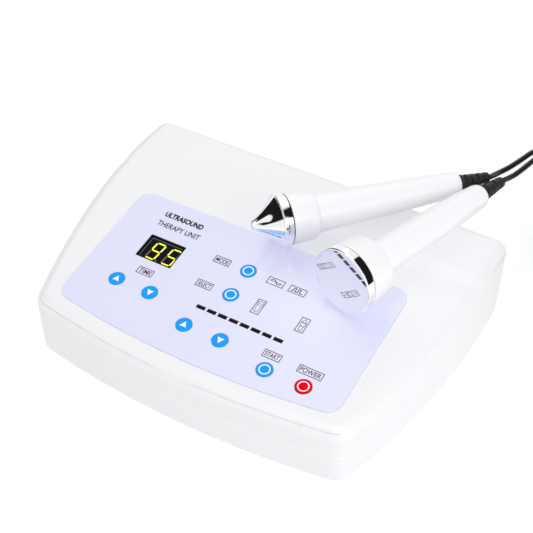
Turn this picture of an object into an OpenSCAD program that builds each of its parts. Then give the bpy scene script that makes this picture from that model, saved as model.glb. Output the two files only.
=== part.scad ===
// Ultrasound therapy console with a cone-headed and a flat-headed handset.
// Origin: middle of the object's outline on the surface it stands on. +X right, +Y to the back, +Z up.

/* [Case] */
// Greatest width of the case
case_w = 260; // [240:1:280]
// Depth of the case from its bowed front to its straight back
case_d = 188; // [178:1:198]
// Height of the rear shelf above the underside of the case
shelf_h = 57.6; // [54:0.2:62]
// Height of the parting line between the two shells above the underside
seam_h = 22; // [18:1:26]
// Wall thickness of both shells
wall = 2.5; // [2:0.1:3]
// Radius of the bow in each side, seen from above
side_r = 500; // [420:10:700]
// Radius of the bow in the front, seen from above
front_r = 600; // [500:10:900]
// Radius of the front corners, seen from above
front_corner_r = 14; // [10:1:18]
// Radius of the back corners, seen from above
back_corner_r = 9; // [7:1:12]
// How far the handset tails stand past the back of the case
tail_overhang = 24; // [20:1:28]

/* [Panel] */
// Slope of the control panel
panel_tilt = 6.8; // [5:0.1:9]
// Width of the glossy panel sheet
panel_w = 190; // [180:1:196]
// Distance from the panel sheet to the front of the case
panel_margin = 12.3; // [10:0.1:16]
// Corner radius of the panel sheet
panel_corner_r = 9; // [6:0.5:12]
// Thickness of the panel sheet
sheet_t = 0.8; // [0.6:0.1:1]
// Diameter of a button cap
button_d = 10; // [9:0.1:11]
// How far a button travels
button_travel = 0.5; // [0.3:0.1:0.5]
// Width of the two-digit display
display_w = 25.6; // [24:0.1:27]
// Height of the two-digit display
display_h = 19; // [18:0.1:20]

/* [Handsets] */
// Radius of the chrome ring on the cone head
cone_r = 16.6; // [15:0.1:17]
// Length of the cone in front of its ring
cone_len = 15.9; // [14:0.1:18]
// Radius of the flat head
disc_r = 21; // [20:0.1:21.5]
// Length of a handset from the front of its ring to its tail
handset_len = 124.6; // [122:0.1:126]
// Length of a strain relief behind the tail
relief_len = 22; // [18:1:24]
// Diameter of a handset lead
lead_d = 3.6; // [3.2:0.1:3.8]

/* [Back] */
// Diameter of the threaded barrel of a handset socket
socket_d = 12; // [12:0.1:12.5]
// Distance between the two handset sockets
socket_gap = 40; // [34:1:46]

/* [Hidden] */
$fn = 64;

foot_h = 2.5;
slide_gap = 0.25;
back_y = (case_d - tail_overhang) / 2;
front_y = back_y - case_d;
seam_z = foot_h + seam_h;
shelf_z = foot_h + shelf_h;
floor_top = foot_h + wall;

// ---- outline of the case from above ----
widest_y = back_y - 25;
side_c = [case_w / 2 - side_r, widest_y];
front_c = [0, front_y + front_r];
front_corner_c = circles_meet(side_c, side_r - front_corner_r, front_c, front_r - front_corner_r);
back_corner_c = [side_c.x + sqrt(pow(side_r - back_corner_r, 2) - pow(back_y - back_corner_r - widest_y, 2)),
    back_y - back_corner_r];

// Where two circles meet, taking the point on the right and in front
function circles_meet(p, r, q, s) =
    let (d = norm(q - p), a = (r * r - s * s + d * d) / (2 * d), h = sqrt(r * r - a * a), u = (q - p) / d)
    p + a * u + h * [u.y, -u.x];
function angle_to(p, q) = atan2(q.y - p.y, q.x - p.x);
function arc(c, r, from, to, n) = [for (i = [0:n])
    let (a = from + (to - from) * i / n) c + r * [cos(a), sin(a)]];
function mirrored(pts) = [for (i = [len(pts) - 1:-1:0]) [-pts[i].x, pts[i].y]];

function plan_half(inset) = let (
    front_end = angle_to(front_c, front_corner_c),
    side_start = angle_to(side_c, front_corner_c),
    side_end = angle_to(side_c, back_corner_c))
    concat(
        [for (p = arc(front_c, front_r - inset, -90, front_end, 6)) if (p.x > 0.01) p],
        [for (p = arc(front_corner_c, front_corner_r - inset, front_end, side_start, 6)) p],
        [for (p = arc(side_c, side_r - inset, side_start, side_end, 9)) p],
        [for (p = arc(back_corner_c, back_corner_r - inset, side_end, 90, 5)) p]);
module plan(inset) polygon(concat(plan_half(inset), mirrored(plan_half(inset))));

// ---- outline of the top from the side ----
plane_z0 = foot_h + 53.9;
slope = tan(panel_tilt);
crown_y = 11;
crown_run = 13;
step_y = crown_y + crown_run + 5;
step_run = 14;
crown_z = plane_z0 + slope * (crown_y + crown_run / 2);
function top_line(drop) = concat(
    [[front_y - 10, plane_z0 + slope * (front_y - 10) - drop]],
    [for (i = [0:4]) let (t = i / 4)
        [crown_y + crown_run * t, plane_z0 + slope * (crown_y + crown_run * (t - t * t / 2)) - drop]],
    [for (i = [0:6]) let (t = i / 6)
        [step_y + step_run * t, crown_z + (shelf_z - crown_z) * (1 - cos(180 * t)) / 2 - drop]],
    [[back_y + 10, shelf_z - drop]]);
module under_top(drop)
    rotate([90, 0, 90]) linear_extrude(case_w + 20, center = true)
        polygon(concat(top_line(drop), [[back_y + 10, -10], [front_y - 10, -10]]));

// Case screw posts, and the feet beside them
posts = [[112, 44], [-112, 44], [92, -80], [-92, -80]];
feet = [[100, 64], [-100, 64], [76, -86], [-76, -86]];

// ---- the sloping panel's own frame: Z is the distance above the case's top surface ----
module on_panel() translate([0, 0, plane_z0]) rotate([panel_tilt, 0, 0]) children();
panel_top = 9.7;
panel_bottom_r = front_r - panel_margin;
panel_bottom_c = [0, (front_y + panel_margin) / cos(panel_tilt) + panel_bottom_r];
function panel_half(grow) = let (
    r = panel_corner_r,
    x = panel_w / 2 - r,
    low = [x, panel_bottom_c.y - sqrt(pow(panel_bottom_r - r, 2) - x * x)],
    turn = angle_to(panel_bottom_c, low))
    concat(
        [for (p = arc(panel_bottom_c, panel_bottom_r + grow, -90, turn, 6)) if (p.x > 0.01) p],
        arc(low, r + grow, turn, 0, 6),
        arc([x, panel_top - r], r + grow, 0, 90, 6));
module panel_outline(grow) polygon(concat(panel_half(grow), mirrored(panel_half(grow))));
recess = 0.4;
sheet_top = sheet_t - recess;

// Places on the panel
time_up_at = [-68.3, -60.9];
time_down_at = [-44.1, -60.9];
output_up_at = [-12.4, -72];
output_down_at = [12.3, -72];
mode_at = [0.3, -19.3];
select_at = [0.3, -40.1];
start_at = [45.5, -78];
power_at = [70.4, -78];
buttons = [time_up_at, time_down_at, output_up_at, output_down_at, mode_at, select_at, start_at, power_at];
display_at = [-56.6, -30.2];
bar_at = [15.8, -56.9];
bar_count = 8;
bar_pitch = 7.5;
bar_size = [5.2, 1.8];
board_posts = [[80, -60], [-80, -72], [80, 2], [-80, 2]];

// Depths below the top surface
button_seat = -1.3;
board_top = -11;
board_t = 1.6;
switch_top = -6.6;

module upper_case() color("whitesmoke") difference() {
    intersection() {
        translate([0, 0, seam_z]) linear_extrude(60) plan(0);
        under_top(0);
    }
    difference() {
        intersection() {
            translate([0, 0, seam_z - 1]) linear_extrude(60) plan(wall);
            under_top(wall);
        }
        for (p = posts) translate([p.x, p.y, seam_z]) cylinder(d = 8, h = 60);
        on_panel() for (p = board_posts) translate([p.x, p.y, board_top]) cylinder(d = 6, h = 20);
    }
    for (p = posts) translate([p.x, p.y, seam_z - 1]) cylinder(d = 3, h = 13);
    on_panel() {
        translate([0, 0, -recess]) linear_extrude(5) panel_outline(0.15);
        for (p = buttons) translate([p.x, p.y, 0]) {
            translate([0, 0, button_seat]) cylinder(d = button_d + 0.6, h = 5);
            translate([0, 0, -5]) cylinder(d = 5, h = 5);
        }
        translate([display_at.x, display_at.y, 0])
            cube([display_w + 0.4, display_h + 0.4, 12], center = true);
        translate([bar_at.x, bar_at.y, 0]) cube([bar_count * bar_pitch, bar_size.y + 0.6, 12], center = true);
        for (p = board_posts) translate([p.x, p.y, board_top - 1]) cylinder(d = 2.5, h = 7);
    }
    back_openings();
}

// Rim that the upper shell slides over
tongue_h = 1.6;
module tongue() difference() {
    union() {
        translate([0, 0, seam_z - 4]) linear_extrude(4) plan(wall - 0.1);
        translate([0, 0, seam_z]) linear_extrude(tongue_h) plan(wall + slide_gap);
    }
    translate([0, 0, seam_z - 5]) linear_extrude(10) plan(wall + slide_gap + 1.2);
}

module lower_case() color("whitesmoke") difference() {
    union() {
        difference() {
            translate([0, 0, foot_h]) linear_extrude(seam_h) plan(0);
            translate([0, 0, floor_top]) linear_extrude(seam_h) plan(wall);
        }
        tongue();
        for (p = posts) translate([p.x, p.y, foot_h]) cylinder(d = 9, h = seam_h);
        for (p = driver_posts) translate([p.x, p.y, foot_h]) cylinder(d = 6, h = driver_z - foot_h);
        for (p = transformer_posts) translate([p.x, p.y, foot_h]) cylinder(d = 7, h = wall + 1.5);
    }
    for (p = posts) translate([p.x, p.y, 0]) {
        cylinder(d = 6.6, h = 15);
        cylinder(d = 3.4, h = 40);
    }
    for (p = feet) translate([p.x, p.y, 0]) cylinder(d = 5.2, h = 10);
    for (p = driver_posts) translate([p.x, p.y, driver_z - 6]) cylinder(d = 2.5, h = 7);
    for (p = transformer_posts) translate([p.x, p.y, foot_h + 1]) cylinder(d = 2.9, h = 10);
    for (i = [0:5]) translate([48 + 8 * i, 30, foot_h]) cube([3, 26, 10], center = true);
    for (i = [0:5]) translate([-88 + 8 * i, 6, foot_h]) cube([3, 26, 10], center = true);
}

module case_screws() color("silver") for (p = posts) translate([p.x, p.y, 0]) {
    difference() {
        translate([0, 0, 12.6]) cylinder(d = 5.6, h = 2.4);
        translate([0, 0, 12.5]) cube([4, 0.9, 1.6], center = true);
        translate([0, 0, 12.5]) cube([0.9, 4, 1.6], center = true);
    }
    translate([0, 0, 15]) cylinder(d = 2.9, h = 19);
}

module rubber_feet() color("dimgray") for (p = feet) translate([p.x, p.y, 0]) {
    rotate_extrude() polygon([[0, 0], [6, 0], [7, 0.8], [7, foot_h], [0, foot_h]]);
    cylinder(d = 5, h = floor_top + 0.8);
}

module panel_overlay() color("lavender") on_panel() difference() {
    translate([0, 0, -recess]) linear_extrude(sheet_t) panel_outline(0);
    for (p = buttons) translate([p.x, p.y, -2]) cylinder(d = button_d + 0.5, h = 5);
    translate([display_at.x, display_at.y, 0]) cube([display_w + 0.2, display_h + 0.2, 12], center = true);
    for (i = [0:bar_count - 1])
        translate([bar_at.x + (i - (bar_count - 1) / 2) * bar_pitch, bar_at.y, 0])
            cube([bar_size.x + 0.2, bar_size.y + 0.2, 12], center = true);
}

module display_window() color([0.05, 0.05, 0.06]) on_panel()
    translate([display_at.x, display_at.y, -1]) cube([display_w, display_h, 2.4], center = true);

module display_module() color([0.1, 0.1, 0.1]) on_panel() translate([display_at.x, display_at.y, 0]) {
    translate([0, 0, (board_top - 2.4) / 2]) cube([25, 18.6, -2.4 - board_top], center = true);
    for (side = [-1, 1], i = [-2:2])
        translate([2.54 * i, side * 7.6, board_top - 1.2]) cylinder(d = 0.6, h = 2);
}

module level_bar() color([0.08, 0.08, 0.08]) on_panel() {
    translate([bar_at.x, bar_at.y, (board_top - 3) / 2])
        cube([bar_count * bar_pitch, 5, -3 - board_top], center = true);
    for (i = [0:bar_count - 1])
        translate([bar_at.x + (i - (bar_count - 1) / 2) * bar_pitch, bar_at.y, (sheet_top - 3.2) / 2])
            cube([bar_size.x, bar_size.y, sheet_top + 3.2], center = true);
}

// A cap with its stem, which stops short of the switch by its travel
module button_cap(at, shade) color(shade) on_panel() translate([at.x, at.y, 0]) {
    rotate_extrude() polygon(
        [[0, -0.7], [button_d / 2, -0.7], [button_d / 2, 0.4], [button_d / 2 - 0.3, 0.7], [0, 0.7]]);
    translate([0, 0, switch_top + button_travel + 0.1]) cylinder(d = 4, h = 6);
    translate([0, 0, -3.4]) cylinder(d = 6.4, h = 0.8);
}
module time_up_button() button_cap(time_up_at, "dodgerblue");
module time_down_button() button_cap(time_down_at, "dodgerblue");
module output_up_button() button_cap(output_up_at, "dodgerblue");
module output_down_button() button_cap(output_down_at, "dodgerblue");
module mode_button() button_cap(mode_at, "dodgerblue");
module select_button() button_cap(select_at, "dodgerblue");
module start_button() button_cap(start_at, "dodgerblue");
module power_button() button_cap(power_at, "crimson");

module key_switches() color("dimgray") on_panel() for (p = buttons) translate([p.x, p.y, 0]) {
    translate([0, 0, board_top + 1.75]) cube([6, 6, 3.5], center = true);
    translate([0, 0, board_top]) cylinder(d = 3.4, h = switch_top - board_top);
}

module control_board() color("darkgreen") on_panel() difference() {
    translate([-86, -81, board_top - board_t]) cube([172, 88, board_t]);
    for (p = board_posts) translate([p.x, p.y, board_top - 3]) cylinder(d = 3, h = 5);
    translate([display_at.x, display_at.y, 0]) for (side = [-1, 1], i = [-2:2])
        translate([2.54 * i, side * 7.6, board_top - 3]) cylinder(d = 0.8, h = 5);
}

// Parts soldered under the control board
module control_chips() color([0.15, 0.15, 0.17]) on_panel() for (c = [
    [-20, -30, 18, 8, 2.6], [10, -50, 10, 6, 1.8], [36, -28, 12, 8, 2.2],
    [-50, -10, 6, 4, 1.4], [60, -20, 14, 6, 5.4], [22, -8, 6, 6, 3.2]])
    translate([c[0], c[1], board_top - board_t - c[4] / 2]) cube([c[2], c[3], c[4]], center = true);

module buzzer() color([0.12, 0.12, 0.12]) on_panel() translate([40, -4, board_top]) difference() {
    cylinder(d = 12, h = 7.4);
    translate([0, 0, 5.4]) cylinder(d = 2.4, h = 3);
}

// ---- power and drive electronics in the lower shell ----
driver_z = 11;
driver_c = [-52, -24];
driver_size = [108, 84];
driver_posts = [for (sx = [-1, 1], sy = [-1, 1])
    driver_c + [sx * (driver_size.x / 2 - 5), sy * (driver_size.y / 2 - 5)]];
transformer_c = [66, 30];
transformer_posts = [transformer_c + [-31, 0], transformer_c + [31, 0]];

module driver_board() color("seagreen") difference() {
    translate([driver_c.x, driver_c.y, driver_z + board_t / 2])
        cube([driver_size.x, driver_size.y, board_t], center = true);
    for (p = driver_posts) translate([p.x, p.y, driver_z - 1]) cylinder(d = 3, h = 5);
}

module board_screw(shank, length) {
    cylinder(d = shank * 2, h = 1.6);
    translate([0, 0, -length]) cylinder(d = shank, h = length);
}
module board_screws() color("silver") {
    for (p = driver_posts) translate([p.x, p.y, driver_z + board_t]) board_screw(2.4, 7);
    for (p = transformer_posts) translate([p.x, p.y, floor_top + 2.7]) board_screw(2.8, 4);
    on_panel() for (p = board_posts)
        translate([p.x, p.y, board_top - board_t]) rotate([180, 0, 0]) board_screw(2.4, 6);
}

module driver_components() color([0.2, 0.22, 0.3]) translate([driver_c.x, driver_c.y, driver_z + board_t]) {
    for (x = [-42, -28]) translate([x, 26, 0]) cylinder(d = 10, h = 16);
    translate([-12, 30, 0]) cylinder(d = 8, h = 12);
    translate([-36, -14, 2]) cube([20, 7, 4], center = true);
    translate([-36, -28, 2]) cube([12, 7, 4], center = true);
    translate([30, -30, 4]) cube([18, 7, 8], center = true);
    translate([10, -32, 3]) cube([8, 5, 6], center = true);
    for (x = [-14:6:4]) translate([x, 10, 1.5]) rotate([90, 0, 0]) cylinder(d = 2.4, h = 7);
}

module output_coil() color("peru") translate([driver_c.x + 22, driver_c.y + 20, driver_z + board_t]) {
    cylinder(d = 22, h = 3);
    cylinder(d = 14, h = 13);
    translate([0, 0, 13]) cylinder(d = 22, h = 3);
}

heatsink_c = [driver_c.x + 14, driver_c.y - 14, driver_z + board_t];
module heatsink() color("darkgray") translate(heatsink_c) {
    translate([0, 0, 9]) cube([44, 3, 18], center = true);
    for (i = [-4:4]) translate([5 * i, -5.5, 9]) cube([1.4, 8, 18], center = true);
}

module power_transistors() color([0.1, 0.1, 0.1]) translate(heatsink_c)
    for (x = [-12, 12]) translate([x, 3.75, 9]) difference() {
        cube([10, 4.5, 15], center = true);
        translate([0, 0, 5]) rotate([90, 0, 0]) cylinder(d = 3.2, h = 12, center = true);
    }

module mains_transformer() color("sienna") translate([transformer_c.x, transformer_c.y, floor_top + 1.5]) {
    difference() {
        translate([0, 0, 20.5]) cube([48, 16, 39], center = true);
        translate([0, 0, 20.5]) cube([32, 20, 26], center = true);
    }
    translate([0, 0, 20.5]) cube([32, 34, 26], center = true);
    difference() {
        translate([0, 0, 0.6]) cube([70, 12, 1.2], center = true);
        for (x = [-31, 31]) translate([x, 0, -1]) cylinder(d = 3.2, h = 4);
    }
}

// ---- back wall ----
inlet_at = [84, 39];
inlet_size = [27, 19.6];
fuse_at = [52, 39];
socket_z = 39;
cone_socket_x = -78;
flat_socket_x = cone_socket_x + socket_gap;
socket_xs = [cone_socket_x, flat_socket_x];

// Everything cut through the back wall
module back_openings() {
    translate([inlet_at.x, back_y, inlet_at.y])
        cube([inlet_size.x + 0.4, 20, inlet_size.y + 0.4], center = true);
    translate([fuse_at.x, back_y + 10, fuse_at.y]) rotate([90, 0, 0]) cylinder(d = 12.4, h = 20);
    for (x = socket_xs) translate([x, back_y + 10, socket_z]) rotate([90, 0, 0])
        cylinder(d = socket_d + 0.4, h = 20);
}

module mains_inlet() color([0.1, 0.1, 0.11]) difference() {
    union() {
        translate([inlet_at.x, back_y + 1.25, inlet_at.y]) cube([31, 2.5, 23], center = true);
        translate([inlet_at.x, back_y - 9, inlet_at.y]) cube([inlet_size.x, 18, inlet_size.y], center = true);
    }
    translate([inlet_at.x, back_y - 5, inlet_at.y]) cube([24, 19, 15.6], center = true);
}

module inlet_pins() color("silver") for (p = [[-7, -2], [7, -2], [0, 2]])
    translate([inlet_at.x + p.x, back_y - 12, inlet_at.y + p.y]) cube([2, 22, 4], center = true);

module fuse_holder() color([0.12, 0.12, 0.12]) translate([fuse_at.x, back_y, fuse_at.y]) rotate([90, 0, 0]) {
    difference() {
        translate([0, 0, -7]) cylinder(d = 15, h = 7);
        translate([0, 0, -7]) cube([9, 1.4, 3], center = true);
    }
    cylinder(d = 12, h = 24);
}

// A round screw-ring socket: threaded barrel, flange and a pin insert at the bottom of the bore
socket_reach = 10;
module socket() translate([0, back_y, socket_z]) rotate([-90, 0, 0]) {
    difference() {
        union() {
            cylinder(d = socket_d + 3, h = 1.6);
            translate([0, 0, -12]) cylinder(d = socket_d, h = 12 + socket_reach);
        }
        translate([0, 0, -1]) cylinder(d = 9.4, h = socket_reach + 2);
    }
    for (a = [45, 165, 285]) rotate(a) translate([2.6, 0, -1]) cylinder(d = 1, h = 5);
}
module cone_socket() color("silver") translate([cone_socket_x, 0, 0]) socket();
module flat_socket() color("silver") translate([flat_socket_x, 0, 0]) socket();

module socket_nuts() color("silver") for (x = socket_xs)
    translate([x, back_y - wall - 2.4, socket_z]) rotate([-90, 0, 0]) difference() {
        cylinder(d = 17, h = 2.3, $fn = 6);
        translate([0, 0, -1]) cylinder(d = socket_d + 0.1, h = 5);
    }

// ---- internal wiring ----
function lerp(a, b, t) = a + (b - a) * t;
function unit(v) = v / norm(v);
// Rings of a tube swept along points
function tube_ring(pts, i, r, sides) = let (
    ahead = pts[min(i + 1, len(pts) - 1)],
    behind = pts[max(i - 1, 0)],
    t = unit(ahead - behind),
    s = unit(cross(t, abs(t.z) > 0.98 ? [1, 0, 0] : [0, 0, 1])),
    u = cross(s, t))
    [for (k = [0:sides - 1]) let (a = 360 * k / sides) pts[i] + r * (cos(a) * s + sin(a) * u)];
module tube(pts, r, sides = 8) {
    rings = [for (i = [0:len(pts) - 1]) tube_ring(pts, i, r, sides)];
    last = (len(pts) - 1) * sides;
    polyhedron(
        points = [for (ring = rings) for (p = ring) p],
        faces = concat(
            [[for (k = [sides - 1:-1:0]) k]],
            [for (i = [0:len(pts) - 2], k = [0:sides - 1])
                let (a = i * sides + k, b = i * sides + (k + 1) % sides) [a, b, b + sides, a + sides]],
            [[for (k = [0:sides - 1]) last + k]]));
}
// A smooth curve through points, with n steps between each two
function curve_at(p, i, t) = let (
    a = p[max(i - 1, 0)], b = p[i], c = p[i + 1], d = p[min(i + 2, len(p) - 1)])
    0.5 * (2 * b + (c - a) * t + (2 * a - 5 * b + 4 * c - d) * t * t + (3 * b - a - 3 * c + d) * t * t * t);
function smooth(p, n) = concat(
    [for (i = [0:len(p) - 2], k = [0:i == 0 || i == len(p) - 2 ? 0 : n - 1]) curve_at(p, i, k / n)],
    [p[len(p) - 1]]);

// Flat cable from the header on the driver board up to the control board
header_top = driver_z + board_t + 8;
module ribbon_cable() color("lightgray") translate([-30, 0, 0]) rotate([90, 0, 90]) linear_extrude(16)
    polygon([[-54.5, header_top], [-53.5, header_top], [-53.5, 27], [-61, 31.5], [-61, 36.2], [-62, 36.2],
        [-62, 31], [-54.5, 26.4]]);

wire_r = 1.1;
module wire(pts) tube(smooth(pts, 3), wire_r);
module mains_wires() color("saddlebrown") {
    wire([[77, 58.9, 37], [77, 57.4, 37], [75.6, 54.4, 36.6], [70, 52, 36], [60, 52, 37], [54, 53.6, 38.5],
        [52.6, 56.2, 39], [52.6, 57.9, 39]]);
    wire([[91, 58.9, 37], [91, 57, 37], [91.6, 53.4, 33], [87, 51.4, 27], [80, 50.4, 24.4], [79, 48.8, 24],
        [79, 47.1, 24]]);
    wire([[50, 57.9, 37], [50, 56, 37], [49.6, 52.4, 34], [54, 51, 29.6], [59.4, 50.2, 26.4], [60, 48.8, 26],
        [60, 47.1, 26]]);
    wire([[49.9, 43, 30], [48, 43, 30], [42, 44, 27], [30, 36, 21], [12, 12, 18], [0, 0, 17.6],
        [-5.6, -1.8, 16.4], [-6, -2, 14.4], [-6, -2, 12.7]]);
}

module socket_wires() color([0.7, 0.1, 0.1]) {
    wire([[cone_socket_x, 69.9, socket_z], [cone_socket_x, 68, socket_z], [cone_socket_x, 60, 36],
        [-77, 44, 27], [-75, 30, 20.6], [-72.4, 16.4, 17], [-72, 14, 14.4], [-72, 14, 12.7]]);
    wire([[flat_socket_x, 69.9, socket_z], [flat_socket_x, 68, socket_z], [flat_socket_x, 60, 36],
        [-34, 44, 27], [-24, 28, 20.6], [-12.8, 14.6, 17], [-12, 13, 14.4], [-12, 13, 12.7]]);
}

// ---- handsets: each drawn upright with its front ring at Z = 0 and its tail up, then laid down ----
cone_at = [3.7, 8.2, 75.3];
cone_turn = 50.7;
cone_dip = 2.8;
flat_at = [63.5, -21.4, 77.5];
flat_turn = 73.85;
flat_dip = 3.95;
function laid(at, turn, dip, z) = at + z * [cos(turn) * cos(dip), sin(turn) * cos(dip), -sin(dip)];
module lay_cone() translate(cone_at) rotate([0, 90 + cone_dip, cone_turn]) children();
module lay_flat() translate(flat_at) rotate([0, 90 + flat_dip, flat_turn]) children();

cone_ring = 5.7;
disc_ring = 5.5;
seal_t = 0.6;
cone_collar_end = 24.5;
flat_collar_end = 25;
tail_r = 6.3;
head_step = 4;

// Outside of the handle from its shoulder at the collar to its tail; more widens its front
function handle_line(shoulder, more) = concat(
    [for (p = [[11.3, shoulder + 2], [11.2, 34], [10.9, 45], [10.5, 60], [10, 80], [9.4, 100]])
        [p.x + more * (1 - (p.y - 29) / 71), p.y]],
    [[8.9, 110], [8.3, 118], [7.7, 121.8], [tail_r, handset_len]]);
module handle(shoulder, more) rotate_extrude() polygon(concat(
    [[9.1, shoulder - 7], [10.9, shoulder - 7], [10.9, shoulder + 0.05], [11.3 + more, shoulder + 0.1]],
    handle_line(shoulder, more),
    [[3.3, handset_len], [3.3, 120], [6, 116], [7.8, 98], [9.1, 60]]));

// Tapered collar that ends in a rounded shoulder at the handle
module collar(front_r, back_r, start, end, shoulder) rotate_extrude() polygon([
    [front_r - 2.6, start], [front_r, start], [front_r, start + 1],
    [lerp(front_r, back_r, 0.5), lerp(start, end - shoulder, 0.6)], [back_r, end - shoulder],
    [lerp(back_r, 12.5, 0.15), end - 0.55 * shoulder], [lerp(back_r, 12.5, 0.6), end - 0.12 * shoulder],
    [12.5, end], [11, end], [11, end - 9], [front_r - 2.6, end - 11.5]]);

// Ribbed, tapered sleeve with a neck and a flange held inside the tail
rib_count = 4;
relief_start = 112;
relief_flange = 3;
module relief() rotate_extrude() polygon(concat(
    [[0, relief_start], [4.4, relief_start], [4.4, 114.6], [3.2, 115.6], [3.2, handset_len],
        [5.4, handset_len], [5.3, handset_len + relief_flange]],
    [for (i = [0:rib_count - 1], k = [0:3]) let (
        part = (i + [0, 0.3, 0.3, 1][k]) / rib_count,
        z = handset_len + relief_flange + (relief_len - relief_flange - 1.2) * part,
        r = lerp(5.4, 3.5, (z - handset_len) / relief_len))
        [k < 2 ? r - 0.9 : r, z + (k == 0 ? 0.1 : 0)]],
    [[3.4, handset_len + relief_len - 0.5], [3, handset_len + relief_len], [0, handset_len + relief_len]]));

module cone_head() color("silver") lay_cone() rotate_extrude() polygon(concat(
    [[0, -cone_len], [2.8, -cone_len], [3.3, -cone_len + 0.5]],
    [for (i = [1:6]) let (t = i / 7) [lerp(3.4, cone_r - 1, pow(t, 1.3)), lerp(-cone_len + 0.5, 0, t)]],
    [[cone_r - 0.5, -0.2], [cone_r, 0.3], [cone_r, cone_ring], [13.4, cone_ring], [13.4, 10], [12.4, 10],
        [12.4, 3], [0, 3]]));
module cone_seal() color([0.08, 0.08, 0.08]) lay_cone() translate([0, 0, cone_ring]) difference() {
    cylinder(r = cone_r - 0.5, h = seal_t);
    translate([0, 0, -1]) cylinder(r = 13.5, h = 3);
}
module cone_collar() color("white") lay_cone()
    collar(cone_r - 0.2, 15.6, cone_ring + seal_t, cone_collar_end, 3);
module cone_handle() color("white") lay_cone() handle(cone_collar_end, 1.15);
module cone_piezo() color("goldenrod") lay_cone() translate([0, 0, 3]) cylinder(r = 11, h = 1.6);
module inner_wire(from, to) translate([0, 0, from]) cylinder(d = 2.2, h = to - from);
module cone_inner_wire() color("firebrick") lay_cone() inner_wire(4.6, relief_start);
module cone_relief() color([0.07, 0.07, 0.07]) lay_cone() relief();

module flat_head() color("silver") lay_flat() rotate_extrude() polygon([
    [0, 0], [disc_r - 0.6, 0], [disc_r, 0.6], [disc_r, disc_ring], [17.6, disc_ring], [17.6, 10], [16.6, 10],
    [16.6, 2.2], [0, 2.2]]);
module flat_seal() color([0.08, 0.08, 0.08]) lay_flat() translate([0, 0, disc_ring]) difference() {
    cylinder(r = disc_r - 0.6, h = seal_t);
    translate([0, 0, -1]) cylinder(r = 17.7, h = 3);
}
module flat_collar() color("white") lay_flat()
    collar(disc_r - 0.4, 19.3, disc_ring + seal_t, flat_collar_end, 3.5);
module flat_handle() color("white") lay_flat() translate([0, 0, head_step])
    handle(flat_collar_end - head_step, 0);
module flat_piezo() color("goldenrod") lay_flat() translate([0, 0, 2.2]) cylinder(r = 14, h = 2);
module flat_inner_wire() color("firebrick") lay_flat() inner_wire(4.2, relief_start + head_step);
module flat_relief() color([0.07, 0.07, 0.07]) lay_flat() translate([0, 0, head_step]) relief();

// ---- leads: from each tail past the back, down beside the console, and coiled ----
lead_r = lead_d / 2;
tie_t = 1;
turn_pitch = lead_d + 0.1;
coil_c = [182, 148.5];
coil_mid_r = 21.6;
coil_half = 1.5 * turn_pitch;
coil_h = 3 * turn_pitch;
flat_coil_z = tie_t;
cone_coil_z = flat_coil_z + coil_h + 0.1;

lead_gap = 0.1;
flat_end = head_step + handset_len + relief_len + lead_gap;
flat_route = [laid(flat_at, flat_turn, flat_dip, flat_end), laid(flat_at, flat_turn, flat_dip, flat_end + 2),
    [109.8, 131.4, 67.7], [112.6, 140.4, 67.8], [114.6, 149, 67.8], [116.4, 157, 67.3], [118.6, 164.6, 65.6],
    [121.8, 172, 61.4],
    [127.2, 178.6, 52.6], [133.4, 182.6, 41.6], [140, 185, 30], [147.4, 186, 19], [155.4, 185, 10.4],
    [164, 181.6, 5], [173, 177, 3], [182, 173.8, 2.85]];
cone_end = handset_len + relief_len + lead_gap;
cone_route = [laid(cone_at, cone_turn, cone_dip, cone_end), laid(cone_at, cone_turn, cone_dip, cone_end + 2),
    [101.6, 128.6, 69.4], [104.8, 136.6, 69], [107.4, 145, 68.6], [109.5, 152.8, 68.2], [111.6, 161, 67.6],
    [114.2, 169, 65.6], [117.8, 177, 60.6], [123.6, 183, 52], [130.8, 187.2, 42.6], [139.4, 189.6, 34],
    [149.6, 189.2, 26.4], [160.4, 185.4, 20.4], [171, 179, 15.8], [182, 173.8, 14.05]];
flat_tail_route = [[207.3, 148.5, 10.25], [207.3, 142, 10.2], [207.3, 135, 9.4], [207.3, 127, 7.9],
    [207.3, 119, 7.4]];
cone_tail_route = [[202.7, 134, 21.45], [198.2, 127.6, 21.1], [193.4, 121.4, 18.8], [188.6, 115.6, 14.4],
    [185, 109.6, 10], [183, 103.6, 7.8], [182.4, 97.6, 7.4]];

module lead(route) color([0.06, 0.06, 0.06]) tube(smooth(route, 2), lead_r);
module coil(z) color([0.1, 0.1, 0.1]) translate([coil_c.x, coil_c.y, z]) rotate_extrude()
    translate([coil_mid_r - coil_half, 0]) square([2 * coil_half, coil_h]);
module cone_lead_run() lead(cone_route);
module cone_lead_coil() coil(cone_coil_z);
module cone_lead_tail() lead(cone_tail_route);
module flat_lead_run() lead(flat_route);
module flat_lead_coil() coil(flat_coil_z);
module flat_lead_tail() lead(flat_tail_route);

// Plug for the screw-ring sockets: boot, body, screw ring and pin insert, lying on the surface
plug_r = socket_d / 2 + 1.4;
module plug() rotate([90, 0, 0]) {
    rotate_extrude() polygon(
        [[0, 0], [2.6, 0], [3.4, 8], [5, 8], [6, 10], [6, 22], [5.2, 22.6], [5.2, 23], [0, 23]]);
    difference() {
        translate([0, 0, 23]) cylinder(r = plug_r, h = 11);
        translate([0, 0, 25]) cylinder(d = socket_d + 0.2, h = 12);
    }
    translate([0, 0, 25]) cylinder(r = 4.4, h = 8);
}
module flat_lead_plug() color("silver") translate(flat_tail_route[len(flat_tail_route) - 1]) plug();
module cone_lead_plug() color("silver") translate(cone_tail_route[len(cone_tail_route) - 1]) plug();

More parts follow.
